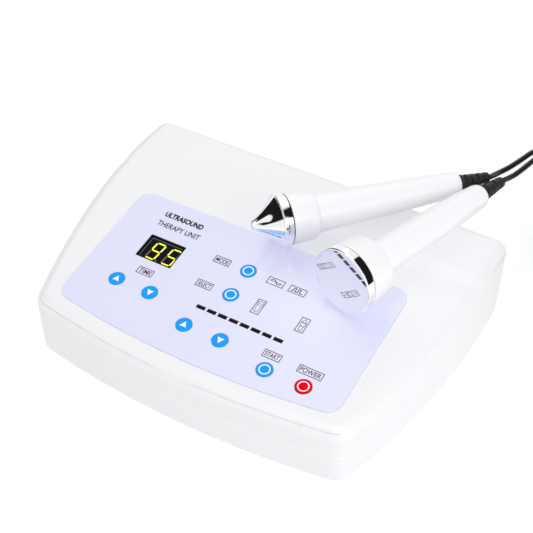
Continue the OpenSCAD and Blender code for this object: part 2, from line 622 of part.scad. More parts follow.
// Two bands round both coils
tie_high = cone_coil_z + coil_h;
module lead_ties() color([0.2, 0.2, 0.2]) for (a = [150, 240])
    translate([coil_c.x, coil_c.y, 0]) rotate(a) translate([coil_mid_r, 0, (tie_high + tie_t) / 2])
    difference() {
        cube([2 * coil_half + 3.2, 5, tie_high + tie_t], center = true);
        cube([2 * coil_half + 1.2, 6, tie_high - tie_t], center = true);
    }

upper_case();
lower_case();
case_screws();
rubber_feet();
panel_overlay();
display_window();
display_module();
level_bar();
time_up_button();
time_down_button();
output_up_button();
output_down_button();
mode_button();
select_button();
start_button();
power_button();
key_switches();
control_board();
control_chips();
buzzer();
driver_board();
board_screws();
driver_components();
output_coil();
heatsink();
power_transistors();
mains_transformer();
mains_inlet();
inlet_pins();
fuse_holder();
cone_socket();
flat_socket();
socket_nuts();
ribbon_cable();
mains_wires();
socket_wires();
cone_head();
cone_seal();
cone_collar();
cone_handle();
cone_piezo();
cone_inner_wire();
cone_relief();
cone_lead_run();
cone_lead_coil();
cone_lead_tail();
cone_lead_plug();
flat_head();
flat_seal();
flat_collar();
flat_handle();
flat_piezo();
flat_inner_wire();
flat_relief();
flat_lead_run();
flat_lead_coil();
flat_lead_tail();
flat_lead_plug();
lead_ties();
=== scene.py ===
"""Looks of the ultrasound therapy console, its two handsets and their leads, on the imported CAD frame."""
import math

import bmesh
import bpy
from mathutils import Matrix, Vector


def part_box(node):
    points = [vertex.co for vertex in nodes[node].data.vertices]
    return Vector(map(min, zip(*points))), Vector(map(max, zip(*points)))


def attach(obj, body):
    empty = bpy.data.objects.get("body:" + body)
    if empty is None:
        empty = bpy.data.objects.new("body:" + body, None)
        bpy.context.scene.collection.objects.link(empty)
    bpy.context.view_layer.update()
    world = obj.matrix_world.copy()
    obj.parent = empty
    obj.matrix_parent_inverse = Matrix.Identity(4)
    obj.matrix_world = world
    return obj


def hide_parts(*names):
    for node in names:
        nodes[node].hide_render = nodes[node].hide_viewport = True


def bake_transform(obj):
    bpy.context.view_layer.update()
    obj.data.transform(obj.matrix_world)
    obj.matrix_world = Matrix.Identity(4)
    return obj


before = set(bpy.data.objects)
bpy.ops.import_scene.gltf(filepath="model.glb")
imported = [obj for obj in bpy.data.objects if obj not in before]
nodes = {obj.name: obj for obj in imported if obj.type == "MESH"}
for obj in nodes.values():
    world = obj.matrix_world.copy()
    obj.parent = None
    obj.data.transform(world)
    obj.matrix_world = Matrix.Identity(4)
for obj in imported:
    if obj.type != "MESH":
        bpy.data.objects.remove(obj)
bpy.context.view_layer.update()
MM = 0.001
scene = bpy.context.scene


def put(name, data):
    """A new object in the scene."""
    obj = bpy.data.objects.new(name, data)
    scene.collection.objects.link(obj)
    return obj


def turned(angle, axis):
    return Matrix.Rotation(math.radians(angle), 4, axis)


# ---- camera
def make_camera():
    data = bpy.data.cameras.new("camera")
    data.sensor_width = 36
    data.lens = 74.15
    data.clip_start = 0.01
    camera = put("camera", data)
    camera.location = (0.25208, -0.43140, 0.51226)
    camera.rotation_euler = (math.radians(46.755), 0, math.radians(30.134))
    scene.camera = camera


make_camera()


# ---- mesh helpers, in millimetres
def add_object(name, verts, faces, matrix=None):
    """A mesh object from points in millimetres."""
    mesh = bpy.data.meshes.new(name)
    place = matrix or Matrix.Identity(4)
    mesh.from_pydata([tuple((place @ Vector(v)) * MM) for v in verts], [], faces)
    mesh.validate()
    work = bmesh.new()
    work.from_mesh(mesh)
    bmesh.ops.recalc_face_normals(work, faces=work.faces)
    work.to_mesh(mesh)
    work.free()
    return put(name, mesh)


def soften(obj, sharp=35):
    """Smooth shading with true creases, and flats that stay flat."""
    work = bmesh.new()
    work.from_mesh(obj.data)
    limit = math.radians(sharp)
    for face in work.faces:
        face.smooth = True
    for edge in work.edges:
        edge.smooth = not (edge.is_manifold and edge.calc_face_angle(0) > limit)
    work.to_mesh(obj.data)
    work.free()
    weighted = obj.modifiers.new("weighted", "WEIGHTED_NORMAL")
    weighted.keep_sharp = True
    weighted.weight = 100


def finish_piece(obj, material, replaced=(), sharp=35, body="console"):
    """Gives a piece its shading, material and body, and hides the CAD nodes it stands for."""
    soften(obj, sharp)
    obj.data.materials.clear()
    obj.data.materials.append(material)
    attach(obj, body)
    if replaced:
        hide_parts(*replaced)
    return obj


def evaluated_mesh(obj):
    """A mesh of the object with its modifiers applied."""
    bpy.context.view_layer.update()
    graph = bpy.context.evaluated_depsgraph_get()
    return bpy.data.meshes.new_from_object(obj.evaluated_get(graph))


def cut(obj, other, how="DIFFERENCE"):
    """Applies a boolean and removes the cutter."""
    step = obj.modifiers.new("cut", "BOOLEAN")
    step.operation = how
    step.solver = "EXACT"
    step.object = other
    mesh = evaluated_mesh(obj)
    obj.modifiers.clear()
    obj.data = mesh
    bpy.data.objects.remove(other)


def join(name, objs):
    """One object from several."""
    work = bmesh.new()
    for obj in objs:
        work.from_mesh(obj.data)
        bpy.data.objects.remove(obj)
    mesh = bpy.data.meshes.new(name)
    work.to_mesh(mesh)
    work.free()
    return put(name, mesh)


def lathe(name, profile, matrix, sides=96, swell=None):
    """A turned piece: profile holds (radius, height), and swell changes a radius by height and angle."""
    verts = []
    rings = []
    for r, z in profile:
        count = sides if r else 1
        rings.append(range(len(verts), len(verts) + count))
        for k in range(count):
            a = 2 * math.pi * k / sides
            rr = swell(r, z, a) if swell and r else r
            verts.append((rr * math.cos(a), rr * math.sin(a), z))
    faces = []
    closed = len(rings[0]) > 1 and len(rings[-1]) > 1
    pairs = list(zip(rings, rings[1:])) + ([(rings[-1], rings[0])] if closed else [])
    for low, high in pairs:
        for k in range(sides):
            n = (k + 1) % sides
            if len(low) == 1:
                faces.append((low[0], high[k], high[n]))
            elif len(high) == 1:
                faces.append((low[k], low[n], high[0]))
            else:
                faces.append((low[k], low[n], high[n], high[k]))
    return add_object(name, verts, faces, matrix)


def rounded(points, radius, steps=4):
    """A profile whose inner corners are rounded."""
    out = [points[0]]
    for before, here, after in zip(points, points[1:], points[2:]):
        p, q, s = Vector(before), Vector(here), Vector(after)
        a, b = p - q, s - q
        reach = min(radius, a.length * 0.45, b.length * 0.45)
        start = q + a.normalized() * reach
        end = q + b.normalized() * reach
        for i in range(steps + 1):
            t = i / steps
            out.append(tuple(start.lerp(q, t).lerp(q.lerp(end, t), t)))
    out.append(points[-1])
    return out


def ring_faces(count, rings):
    """Faces of a solid made of rings of count points each, with both its ends."""
    faces = [tuple(range(count - 1, -1, -1)), tuple(range((rings - 1) * count, rings * count))]
    for r in range(rings - 1):
        for k in range(count):
            a = r * count + k
            b = r * count + (k + 1) % count
            faces.append((a, b, b + count, a + count))
    return faces


def prism(name, outline, low, high, matrix=None, edge=0.0, steps=3):
    """An extruded outline whose top edge is rounded by edge."""
    rings = [(0.0, low)]
    if edge:
        for i in range(steps + 1):
            a = math.pi / 2 * i / steps
            rings.append((edge * (1 - math.cos(a)), high - edge + edge * math.sin(a)))
    else:
        rings.append((0.0, high))
    verts = []
    for inset, z in rings:
        verts += [(p[0], p[1], z) for p in inset_outline(outline, inset)]
    return add_object(name, verts, ring_faces(len(outline), len(rings)), matrix)


def inset_outline(outline, distance):
    """Moves an anticlockwise outline inwards, each point along its own normal."""
    if not distance:
        return list(outline)
    out = []
    count = len(outline)
    for i in range(count):
        p = Vector(outline[i - 1])
        q = Vector(outline[i])
        s = Vector(outline[(i + 1) % count])
        a = (q - p).normalized()
        b = (s - q).normalized()
        mid = a + b
        normal = Vector((-mid.y, mid.x)).normalized()
        scale = 1 / max(0.5, normal.dot(Vector((-a.y, a.x))))
        out.append(tuple(q + normal * distance * scale))
    return out


def tube(name, path, radius, sides=14):
    """A round tube along a path in millimetres, with closed ends."""
    points = [Vector(p) for p in path]
    last = len(points) - 1
    tangents = [(points[min(i + 1, last)] - points[max(i - 1, 0)]).normalized() for i in range(last + 1)]
    side = tangents[0].orthogonal().normalized()
    verts = []
    for p, t in zip(points, tangents):
        side = (side - t * side.dot(t)).normalized()
        up = t.cross(side)
        for k in range(sides):
            a = 2 * math.pi * k / sides
            verts.append(tuple(p + side * (radius * math.cos(a)) + up * (radius * math.sin(a))))
    return add_object(name, verts, ring_faces(sides, last + 1))


def smooth_path(points, steps):
    """A smooth curve through points."""
    pts = [Vector(p) for p in points]
    last = len(pts) - 1
    out = []
    for i in range(last):
        a, b, c, d = pts[max(i - 1, 0)], pts[i], pts[i + 1], pts[min(i + 2, last)]
        for k in range(steps):
            t = k / steps
            out.append(0.5 * (2 * b + (c - a) * t + (2 * a - 5 * b + 4 * c - d) * t ** 2
                              + (3 * b - a - 3 * c + d) * t ** 3))
    out.append(pts[-1])
    return out


def arc(cx, cy, r, start, end, steps):
    """Points on an arc, angles in degrees."""
    turns = [math.radians(start + (end - start) * i / steps) for i in range(steps + 1)]
    return [(cx + r * math.cos(a), cy + r * math.sin(a)) for a in turns]


def mm_box(node):
    low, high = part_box(node)
    return low / MM, high / MM


def centre(node):
    low, high = mm_box(node)
    return (low + high) / 2


# ---- materials
def fill(tree, node, values):
    """Sets a shader node's inputs, or links those whose value is another node's output."""
    for key, value in values.items():
        if isinstance(value, bpy.types.NodeSocket):
            tree.links.new(value, node.inputs[key])
        else:
            node.inputs[key].default_value = value
    return node


def add_node(tree, kind, values):
    return fill(tree, tree.nodes.new("ShaderNode" + kind), values)


def mix_colours(tree, low, high, factor):
    mix = tree.nodes.new("ShaderNodeMix")
    mix.data_type = "RGBA"
    return fill(tree, mix, {"A": low, "B": high, "Factor": factor}).outputs["Result"]


def new_material(name, colour, roughness, metallic=0.0, coat=0.0, spread=0.05, tint=0.02,
                 grain=3000.0, bump=0.05, bump_mm=0.02, patch=300.0, specular=0.5, coat_rough=0.06):
    """A procedural surface: slow colour drift, roughness that varies, and a fine moulded or ground grain."""
    mat = bpy.data.materials.new(name)
    mat.use_nodes = True
    tree = mat.node_tree
    place = add_node(tree, "TexCoord", {}).outputs["Object"]
    slow = add_node(tree, "TexNoise", {"Scale": patch, "Detail": 3, "Vector": place}).outputs["Fac"]
    fine = add_node(tree, "TexNoise", {"Scale": grain, "Detail": 2, "Vector": place}).outputs["Fac"]
    low = [max(0.0, c * (1 - tint)) for c in colour]
    high = [min(1.0, c * (1 + tint)) for c in colour]
    rough = add_node(tree, "MapRange", {"To Min": max(0.02, roughness - spread),
                                        "To Max": min(1.0, roughness + spread), "Value": slow})
    relief = add_node(tree, "Bump", {"Strength": bump, "Distance": bump_mm * MM, "Height": fine})
    fill(tree, tree.nodes["Principled BSDF"], {
        "Base Color": mix_colours(tree, (*low, 1), (*high, 1), slow), "Roughness": rough.outputs["Result"],
        "Normal": relief.outputs["Normal"], "Metallic": metallic, "Coat Weight": coat,
        "Coat Roughness": coat_rough, "Specular IOR Level": specular})
    return mat


def srgb(code):
    """Linear colour from a hex code."""
    values = [int(code[i:i + 2], 16) / 255 for i in (0, 2, 4)]
    return tuple(c / 12.92 if c <= 0.04045 else ((c + 0.055) / 1.055) ** 2.4 for c in values)


def ink(name, code):
    return new_material(name, srgb(code), 0.6, tint=0.05, bump=0.04, specular=0.1)


def metal(name, colour, roughness, spread, tint, grain, bump, patch):
    return new_material(name, colour, roughness, 1, 0, spread, tint, grain, bump, patch=patch)


WHITE = new_material("white_plastic", srgb("ebebee"), 0.36, coat=0.2, tint=0.006, grain=2600, bump=0.10,
                     patch=14, coat_rough=0.28)
HANDLE = new_material("handle_plastic", srgb("f1f1f4"), 0.30, coat=0.25, tint=0.006, grain=2600,
                      bump=0.06, patch=40, coat_rough=0.2)
SHEET = new_material("panel_film", srgb("dbddf5"), 0.2, coat=0.35, tint=0.01, grain=3200, patch=22,
                     coat_rough=0.12)
BLUE = new_material("blue_cap", (0.012, 0.33, 0.90), 0.35, specular=0.05, patch=200)
RED = new_material("red_cap", (0.78, 0.0, 0.003), 0.35, specular=0.04, patch=200)
PALE = new_material("pale_print", srgb("f4f7ff"), 0.4, tint=0.01, bump=0.04)
INK = ink("dark_ink", "141418")
LINE = ink("box_ink", "2a252c")
MAROON = ink("maroon_ink", "48101f")
BLACK = new_material("black_plastic", srgb("16161a"), 0.30, coat=0.2, tint=0.06, grain=1800, bump=0.12,
                     patch=80)
WINDOW = new_material("display_face", srgb("0b0b10"), 0.25, tint=0.05, grain=1800, bump=0.02, patch=60,
                      specular=0.08)
# Grey for a painted highlight line inside the display window, standing in for light caught on the frame's
# bevel.
RIM_HIGHLIGHT_PAINT = new_material("display_rim_highlight_paint", srgb("77777f"), 0.35, tint=0.05, grain=1800, bump=0.03, patch=80,
                     specular=0.3)
RUBBER = new_material("black_rubber", srgb("1b1b1d"), 0.52, tint=0.08, grain=1500, bump=0.25, patch=90,
                      bump_mm=0.04)
LEAD = new_material("lead_jacket", srgb("121214"), 0.33, coat=0.15, tint=0.08, grain=1600, bump=0.16,
                    patch=70)
CHROME = metal("chrome", (0.94, 0.94, 0.95), 0.04, 0.02, 0.01, 2400, 0.015, 60)
NICKEL = metal("nickel", (0.62, 0.60, 0.57), 0.24, 0.08, 0.04, 1500, 0.08, 120)
STEEL = metal("steel", (0.50, 0.50, 0.52), 0.34, 0.10, 0.05, 900, 0.15, 120)
ALUMINIUM = metal("aluminium", (0.56, 0.57, 0.60), 0.38, 0.08, 0.04, 1200, 0.15, 90)
COPPER = metal("copper_wire", (0.72, 0.32, 0.14), 0.35, 0.08, 0.08, 700, 0.5, 150)
BRASS = metal("brass", (0.70, 0.52, 0.22), 0.30, 0.08, 0.05, 900, 0.12, 120)
BOARD = new_material("circuit_board", srgb("145c34"), 0.42, coat=0.3, tint=0.10, grain=350, bump=0.3,
                     patch=120)
WIRE = new_material("wire_cover", srgb("8c2a20"), 0.42, tint=0.08, grain=1200, bump=0.12, patch=90)


def glow_material(name, colour, strength):
    """A lit display segment."""
    mat = new_material(name, colour, 0.3, tint=0.03, grain=2000, bump=0.02)
    shader = mat.node_tree.nodes["Principled BSDF"]
    fill(mat.node_tree, shader, {"Emission Color": (*colour, 1), "Emission Strength": strength})
    return mat


LIT = glow_material("lit_segment", srgb("e6ea2c"), 0.62)
UNLIT = new_material("unlit_segment", srgb("68686a"), 0.4, tint=0.05, grain=2000, bump=0.02, specular=0.2)

# Looks of the CAD nodes that stay as they are
NODE_LOOKS = (
    (BLACK, "display_module level_bar key_switches control_chips buzzer driver_components"),
    (BLACK, "power_transistors"),
    (BOARD, "control_board driver_board"),
    (STEEL, "case_screws board_screws"),
    (ALUMINIUM, "heatsink"),
    (COPPER, "output_coil mains_transformer"),
    (NICKEL, "inlet_pins socket_nuts"),
    (BRASS, "cone_piezo flat_piezo"),
    (WIRE, "ribbon_cable mains_wires socket_wires cone_inner_wire flat_inner_wire"))


# ---- handset frames
def handset_matrix(at, turn, dip):
    """A handset is made upright, with its front ring at height 0 and its tail up, then laid down."""
    return Matrix.Translation(at) @ turned(turn, "Z") @ turned(90 + dip, "Y")


CONE_LAY = handset_matrix((3.7, 8.2, 75.3), 50.7, 2.8)
FLAT_LAY = handset_matrix((63.5, -21.4, 77.5), 73.85, 3.95)
# Radius and height of each chrome ring, and where each collar ends, from the front of the ring
CONE_R = 16.6
CONE_RING = 5.7
CONE_COLLAR_END = 24.5
DISC_R = 21
DISC_RING = 5.5
FLAT_COLLAR_END = 25
SEAL = 0.6
HANDSET_LEN = 124.6
RELIEF_LEN = 22
RELIEF_FLANGE = 3
LEAD_GAP = 0.1
HEAD_STEP = 4
CONE_END = HANDSET_LEN + RELIEF_LEN + LEAD_GAP
FLAT_END = HEAD_STEP + CONE_END


def lead_start(lay, end):
    """The first two points of a lead, straight out of its relief."""
    return [tuple(lay @ Vector((0, 0, z))) for z in (end, end + 2)]


# ---- leads, in millimetres
LEAD_R = 1.8
TURN_PITCH = 3.7
COIL_C = (182, 148.5)
COIL_MID_R = 21.6
# The order in which the turns fill the coil, as (column outwards, row upwards)
COIL_CELLS = ((1, 0), (1, 1), (0, 1), (0, 0), (-1, 0), (-1, 1), (-1, 2), (0, 2), (1, 2))
# Angles in degrees: where the first turn starts, and where and how widely each turn shifts to its next cell
ENTRY_ANGLE = 90
FIRST_SHIFT = 66
SHIFT_HALF = 19
SWEEP = 352
FULL_TURNS = 7

flat_route = lead_start(FLAT_LAY, FLAT_END) + [
    (109.8, 131.4, 67.7), (112.6, 140.4, 67.8), (114.6, 149, 67.8), (116.4, 157, 67.3), (118.6, 164.6, 65.6),
    (121.8, 172, 61.4), (127.2, 178.6, 52.6), (133.4, 182.6, 41.6), (140, 185, 30), (147.4, 186, 19),
    (155.4, 185, 10.4), (164, 181.6, 5), (173, 177, 3), (182, 173.8, 2.85)]
cone_route = lead_start(CONE_LAY, CONE_END) + [
    (101.6, 128.6, 69.4), (104.8, 136.6, 69), (107.4, 145, 68.6), (109.5, 152.8, 68.2), (111.6, 161, 67.6),
    (114.2, 169, 65.6), (117.8, 177, 60.6), (123.6, 183, 52), (130.8, 187.2, 42.6), (139.4, 189.6, 34),
    (149.6, 189.2, 26.4), (160.4, 185.4, 20.4), (171, 179, 15.8), (182, 173.8, 14.05)]
flat_tail_route = [(207.3, 148.5, 10.25), (207.3, 142, 10.2), (207.3, 135, 9.4), (207.3, 127, 7.9),
                   (207.3, 119, 7.4)]
cone_tail_route = [(202.7, 134, 21.45), (198.2, 127.6, 21.1), (193.4, 121.4, 18.8), (188.6, 115.6, 14.4),
                   (185, 109.6, 10), (183, 103.6, 7.8), (182.4, 97.6, 7.4)]


def coil_points(bottom, exit_angle):
    """Centreline of the coiled turns, clockwise from above, from the entry to the exit angle."""
    total = ENTRY_ANGLE - exit_angle + FULL_TURNS * 360
    step = 10
    out = []
    swept = step
    while swept < total:
        angle = ENTRY_ANGLE - swept
        column, row = COIL_CELLS[0]
        for k in range(1, len(COIL_CELLS)):
            shift_at = FIRST_SHIFT - SWEEP * (k - 1)
            t = min(1.0, max(0.0, (shift_at + SHIFT_HALF - angle) / (2 * SHIFT_HALF)))
            t = t * t * (3 - 2 * t)
            column += t * (COIL_CELLS[k][0] - COIL_CELLS[k - 1][0])
            row += t * (COIL_CELLS[k][1] - COIL_CELLS[k - 1][1])
        r = COIL_MID_R + TURN_PITCH * column
        a = math.radians(angle)
        out.append(Vector((COIL_C[0] + r * math.cos(a), COIL_C[1] + r * math.sin(a),
                           bottom + TURN_PITCH * (row + 0.5))))
        swept += step
    return out


def make_lead(kind, route, tail_route, bottom, exit_angle, extras):
    """One lead from its relief to its plug."""
    path = smooth_path(route, 5) + coil_points(bottom, exit_angle) + smooth_path(tail_route, 4)
    obj = tube(kind + "_lead", path, LEAD_R)
    soften(obj, 60)
    obj.data.materials.append(LEAD)
    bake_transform(obj)
    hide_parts(kind + "_lead_run", kind + "_lead_coil", kind + "_lead_tail")


def knurl(count, depth, low, high):
    """Vertical grip ribs between two heights."""
    def swell(r, z, a):
        if low < z < high:
            return r - depth * (0.5 - 0.5 * math.cos(count * a))
        return r
    return swell


PLUG_RING_R = 7.4


def make_plug(kind, end):
    """Boot, body, knurled screw ring and pin insert, lying on the surface."""
    lay = Matrix.Translation(end) @ turned(90, "X")
    boot = [(0, 0), (2.5, 0.05), (2.5, 1.2), (2.2, 1.5), (2.2, 2), (2.8, 2.3), (2.9, 3.5), (2.5, 3.8),
            (2.5, 4.3), (3.1, 4.6), (3.2, 5.8), (2.8, 6.1), (2.8, 6.6), (3.3, 6.9), (3.4, 8.1), (0, 8.1)]
    body = rounded([(0, 8), (5, 8), (6, 10), (6, 22), (5.2, 22.6), (5.2, 23.2), (0, 23.2)], 0.4)
    r = PLUG_RING_R
    ring = rounded([(4.6, 23), (r - 0.5, 23), (r, 23.6), (r, 24.2), (r, 32.8), (r, 33.4), (r - 0.6, 34),
                    (6.15, 34), (6.1, 33.6), (6.1, 25), (4.6, 25)], 0.2, 2)
    ring = ring[:8] + [(r, 24.21 + 0.8 * i) for i in range(11)] + ring[14:]
    insert = rounded([(0, 24.5), (4.4, 24.5), (4.4, 33), (3.6, 33), (3.6, 31.5), (0, 31.5)], 0.15, 2)
    parts = [
        (lathe(kind + "_lead_boot", boot, lay, 32), RUBBER, "black_rubber"),
        (lathe(kind + "_lead_plug_body", body, lay, 64), NICKEL, "nickel"),
        (lathe(kind + "_lead_plug_ring", ring, lay, 144, knurl(36, 0.35, 24.25, 32.3)), NICKEL, "nickel"),
        (lathe(kind + "_lead_plug_insert", insert, lay, 48), BLACK, "black_plastic")]
    for obj, mat, slot in parts:
        finish_piece(obj, mat)
    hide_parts(kind + "_lead_plug")
    return [p[0] for p in parts]


RIBS = 4


def make_relief(kind, lay, step):
    """Ribbed sleeve: grooves cut from two sides, turned a quarter from one to the next, and a plain end."""
    start = step + HANDSET_LEN
    low = start + RELIEF_FLANGE
    neck = RELIEF_LEN - RELIEF_FLANGE - 1.2
    end = start + RELIEF_LEN
    profile = [(0, step + 112), (4.4, step + 112), (4.4, step + 114.6), (3.2, step + 115.6), (3.2, start),
               (5.15, start), (5.4, start + 0.3), (5.4, start + 2.4), (5.25, low)]
    for i in range(1, 14 * RIBS + 1):
        z = low + neck * i / 14 / RIBS
        profile.append((5.4 + (3.5 - 5.4) * (z - start) / RELIEF_LEN, z))
    profile += [(3.45, end - 0.5), (3.3, end - 0.15), (3.0, end), (1.85, end), (0, end)]

    def groove(r, z, a):
        t = (z - low) / neck * RIBS
        if not 0 < t < RIBS:
            return r
        part = t - int(t)
        depth = min(1.0, max(0.0, min(part - 0.06, 0.46 - part) * 9))
        facing = abs(math.cos(a + (math.pi / 2 if int(t) % 2 else 0)))
        return r - 1.5 * depth * min(1.0, max(0.0, (facing - 0.25) * 5))

    obj = lathe(kind + "_relief_sleeve", profile, lay, 96, groove)
    return finish_piece(obj, RUBBER, (kind + "_relief",), 50, kind + "_handset")


def make_ties():
    """Two hook-and-loop bands round both coils."""
    low, high = mm_box("lead_ties")
    made = []
    half_w = 2.5
    across = COIL_MID_R
    reach = 1.5 * TURN_PITCH + 1.6
    top = high.z
    for angle in (150, 240):
        outer = []
        inner = []
        corner = 2.6
        for cx, cz, a0 in ((reach - corner, top - corner, 0), (corner - reach, top - corner, 90),
                           (corner - reach, low.z + corner, 180), (reach - corner, low.z + corner, 270)):
            outer += arc(cx, cz, corner, a0, a0 + 90, 6)
            inner += arc(cx, cz, corner - 0.95, a0, a0 + 90, 6)
        n = len(outer)
        verts = []
        for y, narrow, raised in ((-half_w, 0.9875, 0.12), (-half_w + 0.35, 1, 0), (half_w - 0.35, 1, 0),
                                  (half_w, 0.9875, 0.12)):
            verts += [(across + x * narrow, y, z + (raised if z < 1 else 0)) for x, z in outer]
        for y in (half_w, -half_w):
            verts += [(across + x, y, z) for x, z in inner]
        faces = []
        order = [0, 1, 2, 3, 4, 5, 0]
        for a, b in zip(order, order[1:]):
            for k in range(n):
                m = (k + 1) % n
                faces.append((a * n + k, a * n + m, b * n + m, b * n + k))
        place = Matrix.Translation((*COIL_C, 0)) @ turned(angle, "Z")
        made.append(add_object("tie", verts, faces, place))
    obj = join("lead_bands", made)
    return finish_piece(obj, RUBBER, ("lead_ties",), 50)


cone_relief = make_relief("cone", CONE_LAY, 0)
flat_relief = make_relief("flat", FLAT_LAY, HEAD_STEP)
ties = make_ties()
make_lead("flat", flat_route, flat_tail_route, bottom=1.0, exit_angle=0,
          extras=[flat_relief, *make_plug("flat", flat_tail_route[-1]), ties])
make_lead("cone", cone_route, cone_tail_route, bottom=12.2, exit_angle=-35,
          extras=[cone_relief, *make_plug("cone", cone_tail_route[-1])])


# ---- outline of the case from above
lower_low, lower_high = mm_box("lower_case")
upper_low, upper_high = mm_box("upper_case")
FRONT_Y = lower_low.y
BACK_Y = lower_high.y
HALF_W = upper_high.x
SEAM_Z = upper_low.z
SHELF_Z = upper_high.z
FOOT_H = 2.5
SIDE_R = 500
FRONT_R = 600
FRONT_CORNER_R = 14
BACK_CORNER_R = 9
WIDEST_Y = BACK_Y - 25
SIDE_C = Vector((HALF_W - SIDE_R, WIDEST_Y))
FRONT_C = Vector((0, FRONT_Y + FRONT_R))


def circles_meet(p, r, q, s):
    """Where two circles meet, taking the point on the right and in front."""
    d = (q - p).length
    a = (r * r - s * s + d * d) / (2 * d)
    h = math.sqrt(r * r - a * a)
    u = (q - p) / d
    return p + u * a + Vector((u.y, -u.x)) * h


def angle_to(p, q):
    return math.degrees(math.atan2(q.y - p.y, q.x - p.x))


FRONT_CORNER_C = circles_meet(SIDE_C, SIDE_R - FRONT_CORNER_R, FRONT_C, FRONT_R - FRONT_CORNER_R)
BACK_CORNER_Y = BACK_Y - BACK_CORNER_R
BACK_CORNER_X = SIDE_C.x + math.sqrt((SIDE_R - BACK_CORNER_R) ** 2 - (BACK_CORNER_Y - WIDEST_Y) ** 2)
BACK_CORNER_C = Vector((BACK_CORNER_X, BACK_CORNER_Y))


def case_outline(inset):
    """Closed outline of the case, anticlockwise, moved in by inset."""
    front_end = angle_to(FRONT_C, FRONT_CORNER_C)
    side_start = angle_to(SIDE_C, FRONT_CORNER_C)
    side_end = angle_to(SIDE_C, BACK_CORNER_C)
    right = arc(*FRONT_C, FRONT_R - inset, -90, front_end, 28)[1:]
    right += arc(*FRONT_CORNER_C, max(0.6, FRONT_CORNER_R - inset), front_end, side_start, 16)[1:]
    right += arc(*SIDE_C, SIDE_R - inset, side_start, side_end, 36)[1:]
    right += arc(*BACK_CORNER_C, max(0.4, BACK_CORNER_R - inset), side_end, 90, 14)[1:]
    back = [(right[-1][0] * (1 - i / 12), right[-1][1]) for i in range(1, 12)]
    left = [(-x, y) for x, y in reversed(right)]
    front = [(0.0, FRONT_C.y - FRONT_R + inset)]
    middle = back + [(0.0, right[-1][1])] + [(-x, y) for x, y in reversed(back)]
    return front + right + middle + left


# ---- top of the case from the side
PANEL_TILT = 6.8
PLANE_Z = FOOT_H + 53.9
SLOPE = math.tan(math.radians(PANEL_TILT))
CROWN_Y = 11
CROWN_RUN = 13
STEP_Y = CROWN_Y + CROWN_RUN + 5
STEP_RUN = 14
CROWN_Z = PLANE_Z + SLOPE * (CROWN_Y + CROWN_RUN / 2)


def top_z(y):
    """Height of the case's top at y: sloping plane, crown, step and flat shelf."""
    if y < CROWN_Y:
        return PLANE_Z + SLOPE * y
    if y < CROWN_Y + CROWN_RUN:
        t = (y - CROWN_Y) / CROWN_RUN
        return PLANE_Z + SLOPE * (CROWN_Y + CROWN_RUN * (t - t * t / 2))
    if y < STEP_Y:
        return CROWN_Z
    t = min(1.0, (y - STEP_Y) / STEP_RUN)
    return CROWN_Z + (SHELF_Z - CROWN_Z) * (1 - math.cos(math.pi * t)) / 2


CLEAR = 0.12
TOP_EDGE_R = 8.0
SEAM_EDGE = 0.35


def rounded_case(name, rings, cuts, lift):
    """A solid of outline rings, each (inset, height), sliced along y and then lifted to its true heights."""
    verts = []
    for inset, z in rings:
        verts += [(x, y, z) for x, y in case_outline(inset + CLEAR)]
    obj = add_object(name, verts, ring_faces(len(case_outline(0)), len(rings)))
    work = bmesh.new()
    work.from_mesh(obj.data)
    for y in cuts:
        geometry = work.verts[:] + work.edges[:] + work.faces[:]
        bmesh.ops.bisect_plane(work, geom=geometry, dist=1e-7, plane_co=(0, y * MM, 0), plane_no=(0, 1, 0))
    for v in work.verts:
        v.co.z = lift(v.co.y / MM, v.co.z / MM) * MM
    bmesh.ops.recalc_face_normals(work, faces=work.faces)
    work.to_mesh(obj.data)
    work.free()
    return obj


def node_copy(node):
    """A closed working copy of a CAD node's mesh."""
    mesh = nodes[node].data.copy()
    mesh.materials.clear()
    work = bmesh.new()
    work.from_mesh(mesh)
    bmesh.ops.remove_doubles(work, verts=work.verts, dist=2e-6)
    work.to_mesh(mesh)
    work.free()
    return put(node + "_copy", mesh)


def make_upper():
    """The CAD shell, its outer edge rounded from the side walls into the top."""
    depth = 36.0
    band = 3
    rings = [(SEAM_EDGE, -depth), (0, -depth + SEAM_EDGE), (0, -depth + band)]
    for i in range(13):
        a = math.pi / 2 * i / 12
        rings.append((TOP_EDGE_R * (1 - math.cos(a)), -TOP_EDGE_R + TOP_EDGE_R * math.sin(a)))

    def lift(y, z):
        top = top_z(y) - CLEAR
        if z >= -TOP_EDGE_R - 1e-4:
            return top + z
        if z < -depth + band + 1e-4:
            return SEAM_Z + z + depth
        t = (z + depth - band) / (depth - band - TOP_EDGE_R)
        return SEAM_Z + band + t * (top - TOP_EDGE_R - SEAM_Z - band)

    cuts = [CROWN_Y + CROWN_RUN * i / 10 for i in range(11)]
    cuts += [STEP_Y + STEP_RUN * i / 20 for i in range(21)]
    shell = rounded_case("upper_shell", rings, cuts, lift)
    cut(shell, node_copy("upper_case"), "INTERSECT")
    finish_piece(shell, WHITE, ("upper_case",), 28)


def make_lower():
    """The CAD tray, its bottom edge rounded and its top edge broken at the seam."""
    edge = 3.0
    rings = []
    for i in range(7):
        a = math.pi / 2 * i / 6
        rings.append((edge * (1 - math.sin(a)), FOOT_H + edge * (1 - math.cos(a))))
    rings += [(0, SEAM_Z - SEAM_EDGE), (SEAM_EDGE, SEAM_Z), (SEAM_EDGE + 1.2, SEAM_Z + 0.02),
              (SEAM_EDGE + 1.2, SEAM_Z + 3)]
    shell = rounded_case("lower_shell", rings, [], lambda y, z: z)
    cut(shell, node_copy("lower_case"), "INTERSECT")
    finish_piece(shell, WHITE, ("lower_case",), 28)


make_upper()
make_lower()

